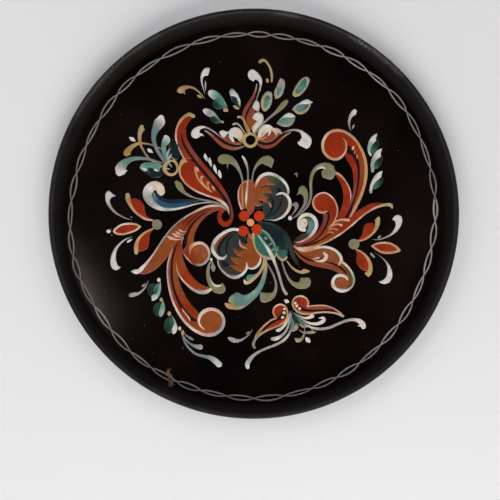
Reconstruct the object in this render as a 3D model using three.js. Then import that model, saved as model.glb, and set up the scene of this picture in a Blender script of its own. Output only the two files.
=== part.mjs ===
// A round sheet-steel tray with a wired edge, lying flat with its dish up.
// Millimetres, +Z up. The origin is the centre of the underside.
import * as THREE from "three";

// Driving dimensions of the pan
const TRAY_DIAMETER = 265; // over the rolled edge
const TRAY_HEIGHT = 11.5; // underside to the crest of the rolled edge
const SHEET = 0.6; // thickness of the steel sheet
const WALL_LEAN_DEG = 12; // how far the wall leans out from upright
const COVE_RADIUS = 2; // inside bend between the flat field and the wall

// Driving dimensions of the wired edge
const WIRE_DIAMETER = 1.6;
const WIRE_CLEARANCE = 0.2; // all round the wire, inside the roll
const ROLL_GAP = 0.4; // between the sheet's raw edge and the back of the wall
const WIRE_BUTT_GAP = 1; // between the two cut ends of the wire

// Facets
const ROUND_SEGMENTS = 96;
const BEND_FACET_DEG = 30; // most that one facet turns in a bend of the sheet
const WIRE_SIDES = 10;

// The roll is a curl of the same sheet round the wire.
const wireRadius = WIRE_DIAMETER / 2;
const rollInner = wireRadius + WIRE_CLEARANCE;
const rollOuter = rollInner + SHEET;
const rollCentre = new THREE.Vector2(TRAY_DIAMETER / 2 - rollOuter, TRAY_HEIGHT - rollOuter);

// The wall runs straight from the cove to the roll, tangent to both.
const lean = THREE.MathUtils.degToRad(WALL_LEAN_DEG);
const coveHeight = SHEET + COVE_RADIUS;
const coveOffset = (coveHeight - rollCentre.y) * Math.sin(lean);
const coveCentre = new THREE.Vector2(
  rollCentre.x - (rollOuter + COVE_RADIUS - coveOffset) / Math.cos(lean),
  coveHeight,
);

// Angles round the roll's centre, from 0 at the tray's outermost edge
const crest = Math.PI / 2;
const outermost = 0;
const lowest = -Math.PI / 2;
const wallTangent = Math.PI - lean;
const rawEdge = wallTangent + Math.acos((rollInner - ROLL_GAP) / rollOuter) - 2 * Math.PI;
const curl = [wallTangent, crest, outermost, lowest, rawEdge];
const cove = [lowest, -lean];

const tray = new THREE.Group();
tray.add(trayPan(), edgeWire());

// Points of a bend through the given angles, each of which is a point of it.
function bend(centre, radius, angles) {
  const facet = THREE.MathUtils.degToRad(BEND_FACET_DEG);
  const point = (angle) =>
    new THREE.Vector2(Math.cos(angle), Math.sin(angle)).multiplyScalar(radius).add(centre);
  const points = [point(angles[0])];
  for (let i = 1; i < angles.length; i++) {
    const turn = angles[i] - angles[i - 1];
    const facets = Math.ceil(Math.abs(turn) / facet);
    for (let k = 1; k <= facets; k++) points.push(point(angles[i - 1] + (turn * k) / facets));
  }
  return points;
}

// One pressed sheet: flat field, cove, leaning wall and a curl that opens downwards.
function trayPan() {
  const profile = [
    new THREE.Vector2(0, 0),
    ...bend(coveCentre, COVE_RADIUS + SHEET, cove),
    ...bend(rollCentre, rollInner, curl),
    ...bend(rollCentre, rollOuter, curl.toReversed()),
    ...bend(coveCentre, COVE_RADIUS, cove.toReversed()),
    new THREE.Vector2(0, SHEET),
  ];
  const enamel = new THREE.MeshStandardMaterial({ color: 0x1a1311, metalness: 0, roughness: 0.25 });
  const pan = new THREE.Mesh(new THREE.LatheGeometry(profile, ROUND_SEGMENTS), enamel);
  pan.name = "tray_pan";
  pan.rotation.x = Math.PI / 2; // the lathe's axis is Y
  return pan;
}

// The stiffening wire, bent to a ring whose ends butt together.
function edgeWire() {
  const ringRadius = rollCentre.x;
  const halfGap = WIRE_BUTT_GAP / 2 / ringRadius;
  class Ring extends THREE.Curve {
    getPoint(t) {
      const angle = halfGap + t * 2 * (Math.PI - halfGap);
      const inPlane = new THREE.Vector2(Math.cos(angle), Math.sin(angle)).multiplyScalar(ringRadius);
      return new THREE.Vector3(inPlane.x, inPlane.y, rollCentre.y);
    }
  }
  const section = new THREE.Shape();
  section.absarc(0, 0, wireRadius, 0, 2 * Math.PI);
  const geometry = new THREE.ExtrudeGeometry(section, {
    steps: ROUND_SEGMENTS,
    curveSegments: WIRE_SIDES / 2, // points per half turn of the section
    extrudePath: new Ring(),
  });
  const steel = new THREE.MeshStandardMaterial({ color: 0x8a8a88, metalness: 1, roughness: 0.5 });
  const wire = new THREE.Mesh(geometry, steel);
  wire.name = "edge_wire";
  return wire;
}

export default tray;
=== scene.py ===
"""A round black-enamelled tray with a wired edge, painted with folk-art scrolls and a braided border.

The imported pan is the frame: its box gives the tray's radius and height. Plane places are in
millimetres from the middle of the tray, x to the right and y up the picture, as its painter sees it.
"""
import math

import bmesh
import bpy
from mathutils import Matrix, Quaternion, Vector, geometry


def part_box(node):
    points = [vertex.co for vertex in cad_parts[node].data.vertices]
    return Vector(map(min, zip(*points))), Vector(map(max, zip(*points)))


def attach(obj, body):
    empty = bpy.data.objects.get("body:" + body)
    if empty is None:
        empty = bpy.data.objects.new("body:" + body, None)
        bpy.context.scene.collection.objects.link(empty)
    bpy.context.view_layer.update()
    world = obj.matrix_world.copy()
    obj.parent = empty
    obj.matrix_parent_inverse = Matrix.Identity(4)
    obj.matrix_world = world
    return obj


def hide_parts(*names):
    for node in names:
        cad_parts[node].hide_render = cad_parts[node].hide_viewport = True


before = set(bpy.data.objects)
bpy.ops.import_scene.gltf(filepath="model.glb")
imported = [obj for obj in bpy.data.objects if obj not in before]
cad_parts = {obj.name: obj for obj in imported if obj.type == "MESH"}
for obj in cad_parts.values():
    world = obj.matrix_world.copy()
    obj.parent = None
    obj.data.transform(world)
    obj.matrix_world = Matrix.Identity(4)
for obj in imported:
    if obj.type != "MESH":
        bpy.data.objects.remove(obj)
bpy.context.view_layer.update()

MM = 0.001
PAN = "tray_pan"
WIRE = "edge_wire"

# ---------------------------------------------------------------- the pressed pan, in millimetres

TRAY_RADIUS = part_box(PAN)[1].x / MM
TRAY_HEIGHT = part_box(PAN)[1].z / MM
SHEET = 0.6
WALL_LEAN = math.radians(12)  # out from upright
COVE_RADIUS = 2
ROLL_INNER = 1
ROLL_GAP = 0.4  # between the sheet's raw edge and the back of the wall
ROLL_OUTER = ROLL_INNER + SHEET
ROLL_CENTRE = (TRAY_RADIUS - ROLL_OUTER, TRAY_HEIGHT - ROLL_OUTER)
COVE_HEIGHT = SHEET + COVE_RADIUS
COVE_SHIFT = (COVE_HEIGHT - ROLL_CENTRE[1]) * math.sin(WALL_LEAN)
COVE_CENTRE = (
    ROLL_CENTRE[0] - (ROLL_OUTER + COVE_RADIUS - COVE_SHIFT) / math.cos(WALL_LEAN),
    COVE_HEIGHT,
)
ROUND_SEGMENTS = 288
BEND_FACET = math.radians(9)  # most that one facet turns in a bend of the sheet
WALL_FACETS = 4
FIELD, RIM, BACK = 0, 1, 2  # the pan's finishes, as places in its list of materials
FIELD_RINGS = (1.5, 14, 28, 42, 56, 70, 84, 98, 110, 120)

# Relief of the paint above the enamel
FILM = 0.05  # a stroke's shoulders above the sheet, to which its layer's steps are added
LAYER_STEP = 0.007  # between a stroke and the one that it crosses
SINK = 0.05  # how deep a stroke's foot reaches into the pan
DOME = 0.035  # a stroke's middle above its shoulders
ROUNDED = 0.014  # a stroke's edge below its shoulders

# Sampling of the strokes
CURVE_STEP = 0.7  # along a stroke or an outline
GRID_STEP = 1.3  # between the points inside a patch
STRAIGHT_PIECES = 4  # of a line between only two points
LEAST_PIECES = 3  # of a curve, from one of its points to the next
NEAR = 1e-4  # the least gap that the curves and the patches reckon with
TOUCHING = 1e-3  # nearer points of a stroke's middle line are one
END_ANGLES = (25, 50, 70, 84)  # degrees, of the rings that close a stroke's end in a half circle


# ---------------------------------------------------------------- the painting, in millimetres

PAINTS = {  # sRGB
    "ground": "1e120e", "white": "ece7e1", "cream": "f4dfc6", "chalk": "b5aea9", "ash": "8f8984",
    "pink": "e3b5a5", "peach": "d99b72", "apricot": "ffb56f", "sand": "bfa97f", "ochre": "b98f57",
    "gold": "cfab73", "olive": "8d8b66", "stone": "999586", "moss": "56603e", "sage": "86a190",
    "aqua": "a3bcb2", "teal": "639788", "steel": "748b8f", "sea": "3d745f", "forest": "1d4339",
    "night": "15262c", "navy": "182c44", "blue": "2c5a74", "slate": "343e3b", "umber": "453830",
    "brick": "992c0e", "flame": "ac360f", "rust": "9f5022", "clay": "a25937", "rose": "93493a",
    "plum": "7e4148", "maroon": "2a0604", "scarlet": "cf3b15", "soot": "2b2828", "putty": "786050",
    "bare": "8a7262", "rusty": "6e4128",
}


def brush(colours, *stations):
    """One brush stroke through (x, y, width); "a>b" changes along it and "left|right" across it."""
    return "brush", colours, stations


def patch(colours, grain, *spans):
    """A filled outline of smooth spans that meet at corners; its colours run along grain."""
    return "patch", colours, grain, spans


def plain(colour, *spans):
    """A patch of one colour."""
    return patch(colour, (0, 0, 1, 0), *spans)


def blob(colours, x, y, wide, high=None, turn=0):
    """A dab of the brush's tip: an ellipse, turned by so many degrees."""
    return "blob", colours, (x, y, wide, high or wide, turn)


def crown_flower():
    """The flower at the top: two wings, three petals and a ring."""
    return [
        # left wing
        patch("rose>clay", (-28, 54, -10, 47),
              [(-29, 56.6), (-25, 54.2), (-21, 51.2), (-17, 52.6), (-15, 49), (-7, 47.2)],
              [(-7, 47.2), (-9, 45.9), (-12.5, 46), (-17, 47.4), (-21.5, 50.2), (-25.5, 53.6),
               (-29, 56.6)]),
        brush("chalk>chalk>rose", (-35, 57.8, 1.4), (-31.5, 57.3, 1.1), (-27, 55, 0.9), (-22.5, 51.6, 0.8),
              (-18, 48.8, 0.6)),
        brush("chalk>rose>clay>clay>ash", (-32.3, 55.3, 0.8), (-28.6, 52.8, 1.5), (-24.4, 48.8, 2.2),
              (-19.5, 45.2, 2.6), (-13.5, 43.4, 2.3), (-9, 44, 1.5), (-6.2, 45, 0.7)),
        brush("maroon", (-30.5, 56, 0.6), (-26, 52.8, 1.3), (-21, 48.3, 1.6), (-16, 45.7, 1.6),
              (-11, 44.9, 1.3), (-7, 45.7, 0.7)),
        brush("white", (-38.4, 53.2, 6.3), (-38.2, 54.6, 5.4), (-37, 56.3, 3.4), (-35, 57.4, 2.0),
              (-32.6, 57.6, 1.2)),
        brush("white", (-37, 52.4, 3.6), (-34.8, 52.6, 1.6), (-33.1, 51.8, 0.3)),
        plain("white",
              [(-22.9, 53.9), (-22, 55.2), (-20, 55.4), (-18, 54.7), (-15.5, 55)],
              [(-15.5, 55), (-16.5, 53.6), (-18, 52.6), (-19.6, 50.6), (-21.3, 51.7), (-22.9, 53.9)]),
        plain("cream",
              [(-14.6, 52.6), (-12.4, 55.2), (-9.4, 53.4), (-7.4, 49.4)], [(-7.4, 49.4), (-10.4, 49.8)],
              [(-10.4, 49.8), (-12.4, 50.6), (-14.6, 52.6)]),
        brush("white>white>cream>gold", (-13.4, 48.2, 1.4), (-14.9, 51, 2.6), (-14, 54.6, 4.3),
              (-11, 55.2, 4.2), (-8.4, 52.4, 3.2), (-7, 49.6, 2.2), (-6.3, 47.9, 1.4)),
        brush("cream>gold", (-9.6, 51.5, 2.0), (-9.6, 49.4, 1.6), (-7.6, 47.9, 1.0)),
        # right wing
        patch("clay>rose", (3, 48, 17, 52),
              [(3, 51.5), (6, 54), (9.5, 54.8), (13.5, 55.2), (18.6, 53.6)],
              [(18.6, 53.6), (15.5, 50.6), (12.6, 48.4), (9, 47.4), (5, 47.9), (2.8, 49)]),
        brush("rose>rose>chalk>chalk>white", (17, 52.4, 0.6), (20.5, 54.2, 0.9), (25, 55.6, 1.1),
              (29, 55.6, 1.3), (32.2, 54.2, 1.8)),
        brush("rose>rose>clay>chalk", (2.6, 46.3, 1.2), (5.5, 44.9, 1.9), (9, 44.4, 2.2), (13, 45.6, 2.1),
              (16.6, 48.4, 1.8), (20.2, 51.4, 1.2), (24.5, 54, 0.5)),
        brush("maroon", (2.8, 47.6, 0.6), (6, 46.5, 1.3), (10, 46.3, 1.5), (13.8, 47.6, 1.4),
              (17.4, 50.6, 1.3), (21, 53.2, 1.0), (25.5, 54.9, 0.4)),
        plain("white",
              [(27.5, 55.2), (30.4, 54.2), (31.7, 52.2), (31.6, 50.3), (30.6, 48.7), (28.9, 47.4)],
              [(28.9, 47.4), (30.2, 45.7), (33, 44.2), (35.2, 43.1)],
              [(35.2, 43.1), (37.2, 44.6), (38.4, 47.6), (37.9, 50.6), (35.8, 52.8), (32.5, 54.9),
               (27.5, 56.2)]),
        brush("cream>white>white", (3.4, 51.2, 1.5), (4.6, 54.4, 3.0), (7.2, 57.2, 3.6), (10.2, 57.6, 3.2),
              (12.4, 56.6, 1.8)),
        brush("pink>cream", (3.2, 50.6, 1.2), (5.8, 51.9, 1.4), (7.4, 53.9, 1.8), (9.4, 55.6, 2.2)),
        brush("cream", (11, 56.4, 1.8), (10.7, 54.2, 1.6), (9.8, 52, 0.6)),
        brush("cream>chalk", (12.3, 56.3, 1.6), (14.8, 55.7, 2.6), (17, 54.7, 2.6), (18.4, 53.4, 1.0)),
        brush("cream>chalk", (12.8, 56, 1.4), (14.6, 53.9, 1.8), (15.4, 51.6, 0.6)),
        brush("peach", (3, 49.6, 0.9), (6, 49.7, 0.9), (8.6, 51.2, 0.5)),
        # middle petal and the curl above it
        patch("rose>rust", (-2, 71, -3, 58),
              [(-3.6, 59), (-4.9, 62.6), (-4.5, 66.5), (-2.8, 69.8), (-0.9, 71.4), (1, 69.8)],
              [(1, 69.8), (1, 66), (2, 62), (0, 58.5), (-1.6, 56), (-3.6, 59)]),
        brush("rust>rose>rose>rose>chalk", (-5.6, 61, 1.4), (-6.5, 64, 2.2), (-6, 67.4, 2.7),
              (-4.2, 71, 2.8), (-2, 74.8, 2.3), (0, 78.6, 1.6), (1.4, 82.4, 1.2), (2.1, 86.2, 0.6)),
        brush("maroon", (-5.1, 60.5, 0.8), (-5.1, 64.6, 1.4), (-3.9, 68.2, 1.5), (-2.1, 71.6, 1.3),
              (-0.3, 75, 1.1), (1.2, 78.4, 0.6)),
        brush("ash>chalk>chalk", (1.7, 75.2, 0.6), (2.8, 78.6, 0.6), (4, 82.6, 0.8), (4.6, 85.6, 1.1)),
        plain("white",
              [(4.2, 81), (5, 84), (5.7, 87.5), (5.2, 90.4), (3.3, 93.2), (1, 95.3), (-1, 96.1), (-3, 95),
               (-3.9, 92.6), (-3, 90), (-1.5, 88.7), (0.1, 88)],
              [(0.1, 88), (0.9, 89.3), (2.5, 88.9), (3.7, 87.4), (4, 84.5), (4.2, 81)]),
        patch("white>white>gold", (2, 75, 2, 67),
              [(1.5, 75.7), (0.2, 73.5), (-0.8, 71), (0.4, 69.4), (3.2, 67.6)],
              [(3.2, 67.6), (3.9, 70), (3.8, 73), (2.8, 75), (1.5, 75.7)]),
        patch("white>cream", (3, 66, 0, 54),
              [(-0.9, 63.3), (-0.2, 65.5), (1.5, 67), (3.8, 67.4), (5.9, 66), (6.6, 63.3), (6, 60.6),
               (4.2, 58.2), (2, 55.8), (0.4, 53.6)],
              [(0.4, 53.6), (-0.9, 55.2), (-1, 57.5), (0.3, 59.5), (2.3, 61.4)],
              [(2.3, 61.4), (1, 62.4), (-0.9, 63.3)]),
        # stems out of the ring
        brush("stone>stone>stone>olive>olive", (0.6, 53.2, 1.4), (3.5, 57, 1.3), (7, 60.6, 1.3),
              (11, 64.2, 1.5), (14.8, 67.4, 2.2), (18, 70.6, 3.4), (20.2, 73, 3.6), (21.8, 74.6, 2.6)),
        brush("chalk>ochre>ochre>gold", (-10.2, 64.3, 1.5), (-8.6, 64.3, 1.4), (-7, 62.9, 1.5),
              (-5.3, 60, 1.5), (-3.8, 57, 1.5), (-2.6, 53.8, 1.6)),
        brush("chalk>chalk>ochre", (-13.3, 59.5, 1.5), (-11.5, 60, 1.3), (-9.6, 59, 1.1), (-7.8, 56.6, 1),
              (-6.2, 54.2, 0.9), (-4.8, 52.6, 0.8)),
        brush("ochre", (-6.8, 61.4, 0.5), (-5.6, 58, 0.7), (-4.2, 54.6, 0.8)),
        brush("gold>gold>sand>gold>gold>ochre>gold", (-2.2, 53.4, 1.9), (-5.1, 52.1, 2.2),
              (-6.4, 49.2, 2.2), (-5.3, 46.2, 2), (-2.3, 44.7, 2), (0.7, 46, 1.9), (2.2, 49, 1.7),
              (1, 51.9, 1.8), (-2.2, 53.4, 1.9)),
    ]


def crown_leaves():
    """The leaves and curls to both sides of the top flower."""
    return [
        # left side
        patch("ground>forest>sea", (-28, 70, -20, 74),
              [(-27.6, 74.5), (-25, 75), (-21, 75), (-19, 71), (-21, 70), (-24.5, 69.6), (-27.4, 71)]),
        patch("sea>teal", (-25, 73, -19, 74),
              [(-26.2, 75.8), (-22.5, 77.2), (-20.2, 75.6), (-18.7, 72.4), (-18.4, 70)],
              [(-18.4, 70), (-20.4, 70.6), (-23, 72.4), (-26.2, 75.8)]),
        patch("white>aqua>teal>teal>aqua", (-30.5, 79, -18, 73),
              [(-26.4, 75.6), (-28.8, 77.6), (-30.4, 80.2), (-29.8, 81.9), (-27.2, 82.5), (-23.7, 80.9),
               (-20.8, 77.9), (-18.6, 73.8), (-17.2, 69.6)],
              [(-17.2, 69.6), (-18.8, 72.3), (-20.4, 75.2), (-22.6, 76.8), (-24.8, 76.6), (-26.4, 75.6)]),
        patch("gold>sand", (-20, 69, -17, 69),
              [(-20.3, 69.8), (-19.9, 68.2), (-17, 68.1), (-17.2, 70), (-18.7, 70.9)]),
        patch("forest>night>slate", (-15, 76, -10, 74),
              [(-15.4, 77.6), (-12.8, 78.4), (-10.4, 76), (-10, 72)],
              [(-10, 72), (-12.4, 73.2), (-14.6, 75), (-15.4, 77.6)]),
        patch("aqua>white>white>aqua", (-15, 82, -9, 71),
              [(-15.2, 78), (-16, 80.4), (-15.8, 82.3), (-14.4, 83.2), (-12, 81.3), (-9.8, 78),
               (-8.7, 74.5), (-9.1, 70.4)],
              [(-9.1, 70.4), (-10.1, 73.6), (-11.2, 76.6), (-13, 78.2), (-15.2, 78)]),
        patch("gold>sand", (-14, 71, -10, 70),
              [(-13.9, 71.5), (-12.6, 72.2), (-10.2, 71), (-9.6, 69.6), (-11.5, 69.5), (-13, 70.5)]),
        patch("ground>forest>sea", (-28, 61, -23, 64),
              [(-29.6, 64.4), (-27, 65), (-24, 63.8), (-21.9, 60.8), (-25.5, 60), (-29, 61.4)]),
        patch("white>chalk>aqua>teal>aqua", (-33.6, 67.6, -21.5, 61.5),
              [(-28.5, 64.2), (-30.6, 65), (-33, 67), (-33.8, 68.8), (-32.8, 69.9), (-30.4, 70),
               (-27.5, 68.7), (-24.8, 66.1), (-22.6, 62.9), (-21.2, 60.5)],
              [(-21.2, 60.5), (-23.4, 62.6), (-25.5, 64.6), (-27.2, 65), (-28.5, 64.2)]),
        blob("sand", -20.8, 61.1, 2.2, 1.6, -20),
        plain("white",
              [(-29.1, 96.9), (-30.6, 97.3), (-32.3, 96.9), (-34.3, 94.4), (-35.2, 91), (-34.8, 87),
               (-33.6, 83), (-32.2, 79.2)],
              [(-32.2, 79.2), (-33.2, 83.4), (-34, 87.6), (-33.6, 90.4), (-32.4, 91.8), (-30.6, 91.8)],
              [(-30.6, 91.8), (-29.8, 93.4), (-29.1, 96.9)]),
        brush("chalk", (-32, 88, 0.7), (-32, 85, 1.1), (-32, 82.2, 0.5)),
        patch("gold>ochre>sand>sand", (-51, 82, -33, 79),
              [(-51.1, 81.6), (-49.6, 84), (-46.5, 85.2), (-42.6, 85.3), (-39.6, 84.2), (-36, 81.4),
               (-33.5, 78.4), (-32.1, 76.1)],
              [(-32.1, 76.1), (-35.8, 79.8), (-39, 82.5), (-41.7, 83.5), (-44.2, 83.2), (-45.7, 82),
               (-45.1, 79.3)], [(-45.1, 79.3), (-46.8, 80.3), (-49.4, 80.2), (-51.1, 81.6)]),
        brush("sand", (-37, 78.6, 1), (-36, 78.1, 1.7), (-34.6, 77.2, 0.7)),
        # right side
        brush("ochre>sand>sand>gold", (4.3, 101.2, 2.2), (5.8, 102.2, 2.1), (7.8, 101.7, 1.6),
              (10, 98.9, 1.4), (11.6, 95, 1.5), (12.1, 91.5, 1.5), (12, 87.9, 0.9)),
        blob("sand", 9.1, 88.6, 1.9, 3, 12),
        patch("gold>sand>aqua>chalk", (5, 75, 12, 76),
              [(10.8, 81), (9.4, 81.4), (6.6, 79.3), (4.9, 75), (5.1, 71), (7, 68), (9.4, 69.2),
               (11.5, 72.5), (12.4, 77), (11.8, 81), (10.8, 81)]),
        patch("moss>teal>teal", (8.5, 78, 8, 71),
              [(9.9, 79.7), (7.4, 77.8), (6, 74.6), (6.2, 71.4), (7.4, 69.3), (9.3, 70.9), (10.9, 74),
               (11.3, 77.6), (9.9, 79.7)]),
        patch("sand>chalk>chalk", (14, 82, 20, 84),
              [(17.8, 90.3), (16.7, 88.4), (15.4, 85), (13.9, 82), (13.7, 78.8), (14.5, 76.4)],
              [(14.5, 76.4), (16.6, 77), (19, 79.3), (20.3, 83), (20.9, 86.5), (20, 89.2), (17.8, 90.3)]),
        patch("sand>teal>teal", (16.5, 86, 17, 80),
              [(18, 88.5), (16.2, 86), (14.9, 82.4), (14.7, 79.2), (15.4, 77.8), (17.4, 79.3), (19.1, 83),
               (19.5, 86.8), (18, 88.5)]),
        patch("sand>chalk", (26, 82, 37, 86),
              [(35.5, 91.3), (37.2, 89.8), (36.4, 86), (33.5, 81.2), (30, 78.3), (26.8, 78), (25.8, 79.6),
               (27, 83), (29.5, 87.3), (32.5, 90.3), (35.5, 91.3)]),
        patch("sea>teal>sea", (34, 88, 28, 80),
              [(35, 90.2), (36, 88), (34.9, 84.6), (32.2, 81), (29, 79.1), (27, 79.7), (27.4, 82),
               (29.6, 86), (32.2, 89.2), (35, 90.2)]),
        patch("sand>sand>chalk", (28, 67, 38, 72),
              [(26, 69), (28, 67), (30.6, 66.2), (33.5, 66.8), (36.2, 69), (37.8, 72), (38.3, 74)],
              [(38.3, 74), (33, 73.5), (29, 72), (26, 69)]),
        patch("teal>steel>sea", (28, 70, 36, 71),
              [(27.1, 69.3), (29.4, 72.2), (33, 73.3), (37, 73), (35.8, 70), (33, 67.8), (30.2, 67.2),
               (27.1, 69.3)]),
        patch("chalk>aqua>white>white", (25.5, 69, 38, 75),
              [(25.3, 68.5), (27, 71.6), (30, 73.5), (33, 75.4), (35.6, 76.2), (37.8, 75.1), (39.4, 74.3)],
              [(39.4, 74.3), (37, 73.1), (34, 72.8), (31.4, 72.8), (28.6, 71), (25.3, 68.5)]),
        blob("moss", 30.3, 68, 0.9, 0.9), blob("moss", 34.3, 70.2, 1.4, 0.7, 50),
        patch("stone>chalk>ash", (16, 60, 27, 62),
              [(15, 60.2), (17.5, 58.7), (21, 57.8), (24.5, 58.5), (26.8, 61), (27.8, 64.6)],
              [(27.8, 64.6), (21, 63.6), (15, 60.2)]),
        patch("teal>teal>sage", (16.5, 61, 24, 62),
              [(16.2, 60.6), (19.2, 63.6), (23, 64.3), (25.8, 63.6), (25, 60.6), (22, 58.9), (18.6, 59.3),
               (16.2, 60.6)]),
        patch("chalk>aqua>white>white", (15, 60, 27, 66),
              [(15, 60.2), (16.8, 62.2), (19.5, 65), (22.5, 66.9), (25.5, 66.7), (27.8, 64.6)],
              [(27.8, 64.6), (25, 63.9), (22, 64.1), (19.2, 63.4), (15, 60.2)]),
    ]


def leaf_fountain():
    """The fan of olive leaves between the top flower and the middle one."""
    return [
        brush("olive>olive>stone>stone>ash", (-20.6, 36.2, 6.4), (-18.6, 36.4, 6.3), (-16, 36, 5.6),
              (-13.2, 34.2, 4), (-10.8, 31.4, 2.6), (-8.8, 27.4, 1.6), (-7.6, 23.4, 1.1),
              (-7.2, 20.8, 1.1)),
        brush("stone>ash", (-17.3, 33.6, 1.1), (-17.4, 31.6, 0.6), (-17.4, 29.8, 0.2)),
        brush("white>chalk>ash>chalk", (-7.4, 38.1, 1), (-6.1, 36.2, 1.8), (-4.9, 33.3, 1.7),
              (-4, 29.5, 1.1), (-3.7, 25, 0.9), (-3.9, 21.4, 0.9)),
        brush("ash>stone>olive>olive", (-0.9, 21.4, 0.9), (-0.7, 25, 0.9), (0.2, 28.6, 1.1),
              (1.8, 31.8, 1.8), (4.2, 34.4, 3.2), (7.4, 35.8, 5), (9.8, 35.6, 5.4)),
        patch("olive>stone", (8, 36, 13, 34),
              [(8, 38.6), (10.6, 38.4), (13.6, 36)], [(13.6, 36), (12.9, 33.2), (11.7, 30.4)],
              [(11.7, 30.4), (9.4, 31.9), (6.6, 33), (8, 38.6)]),
    ]


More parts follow.
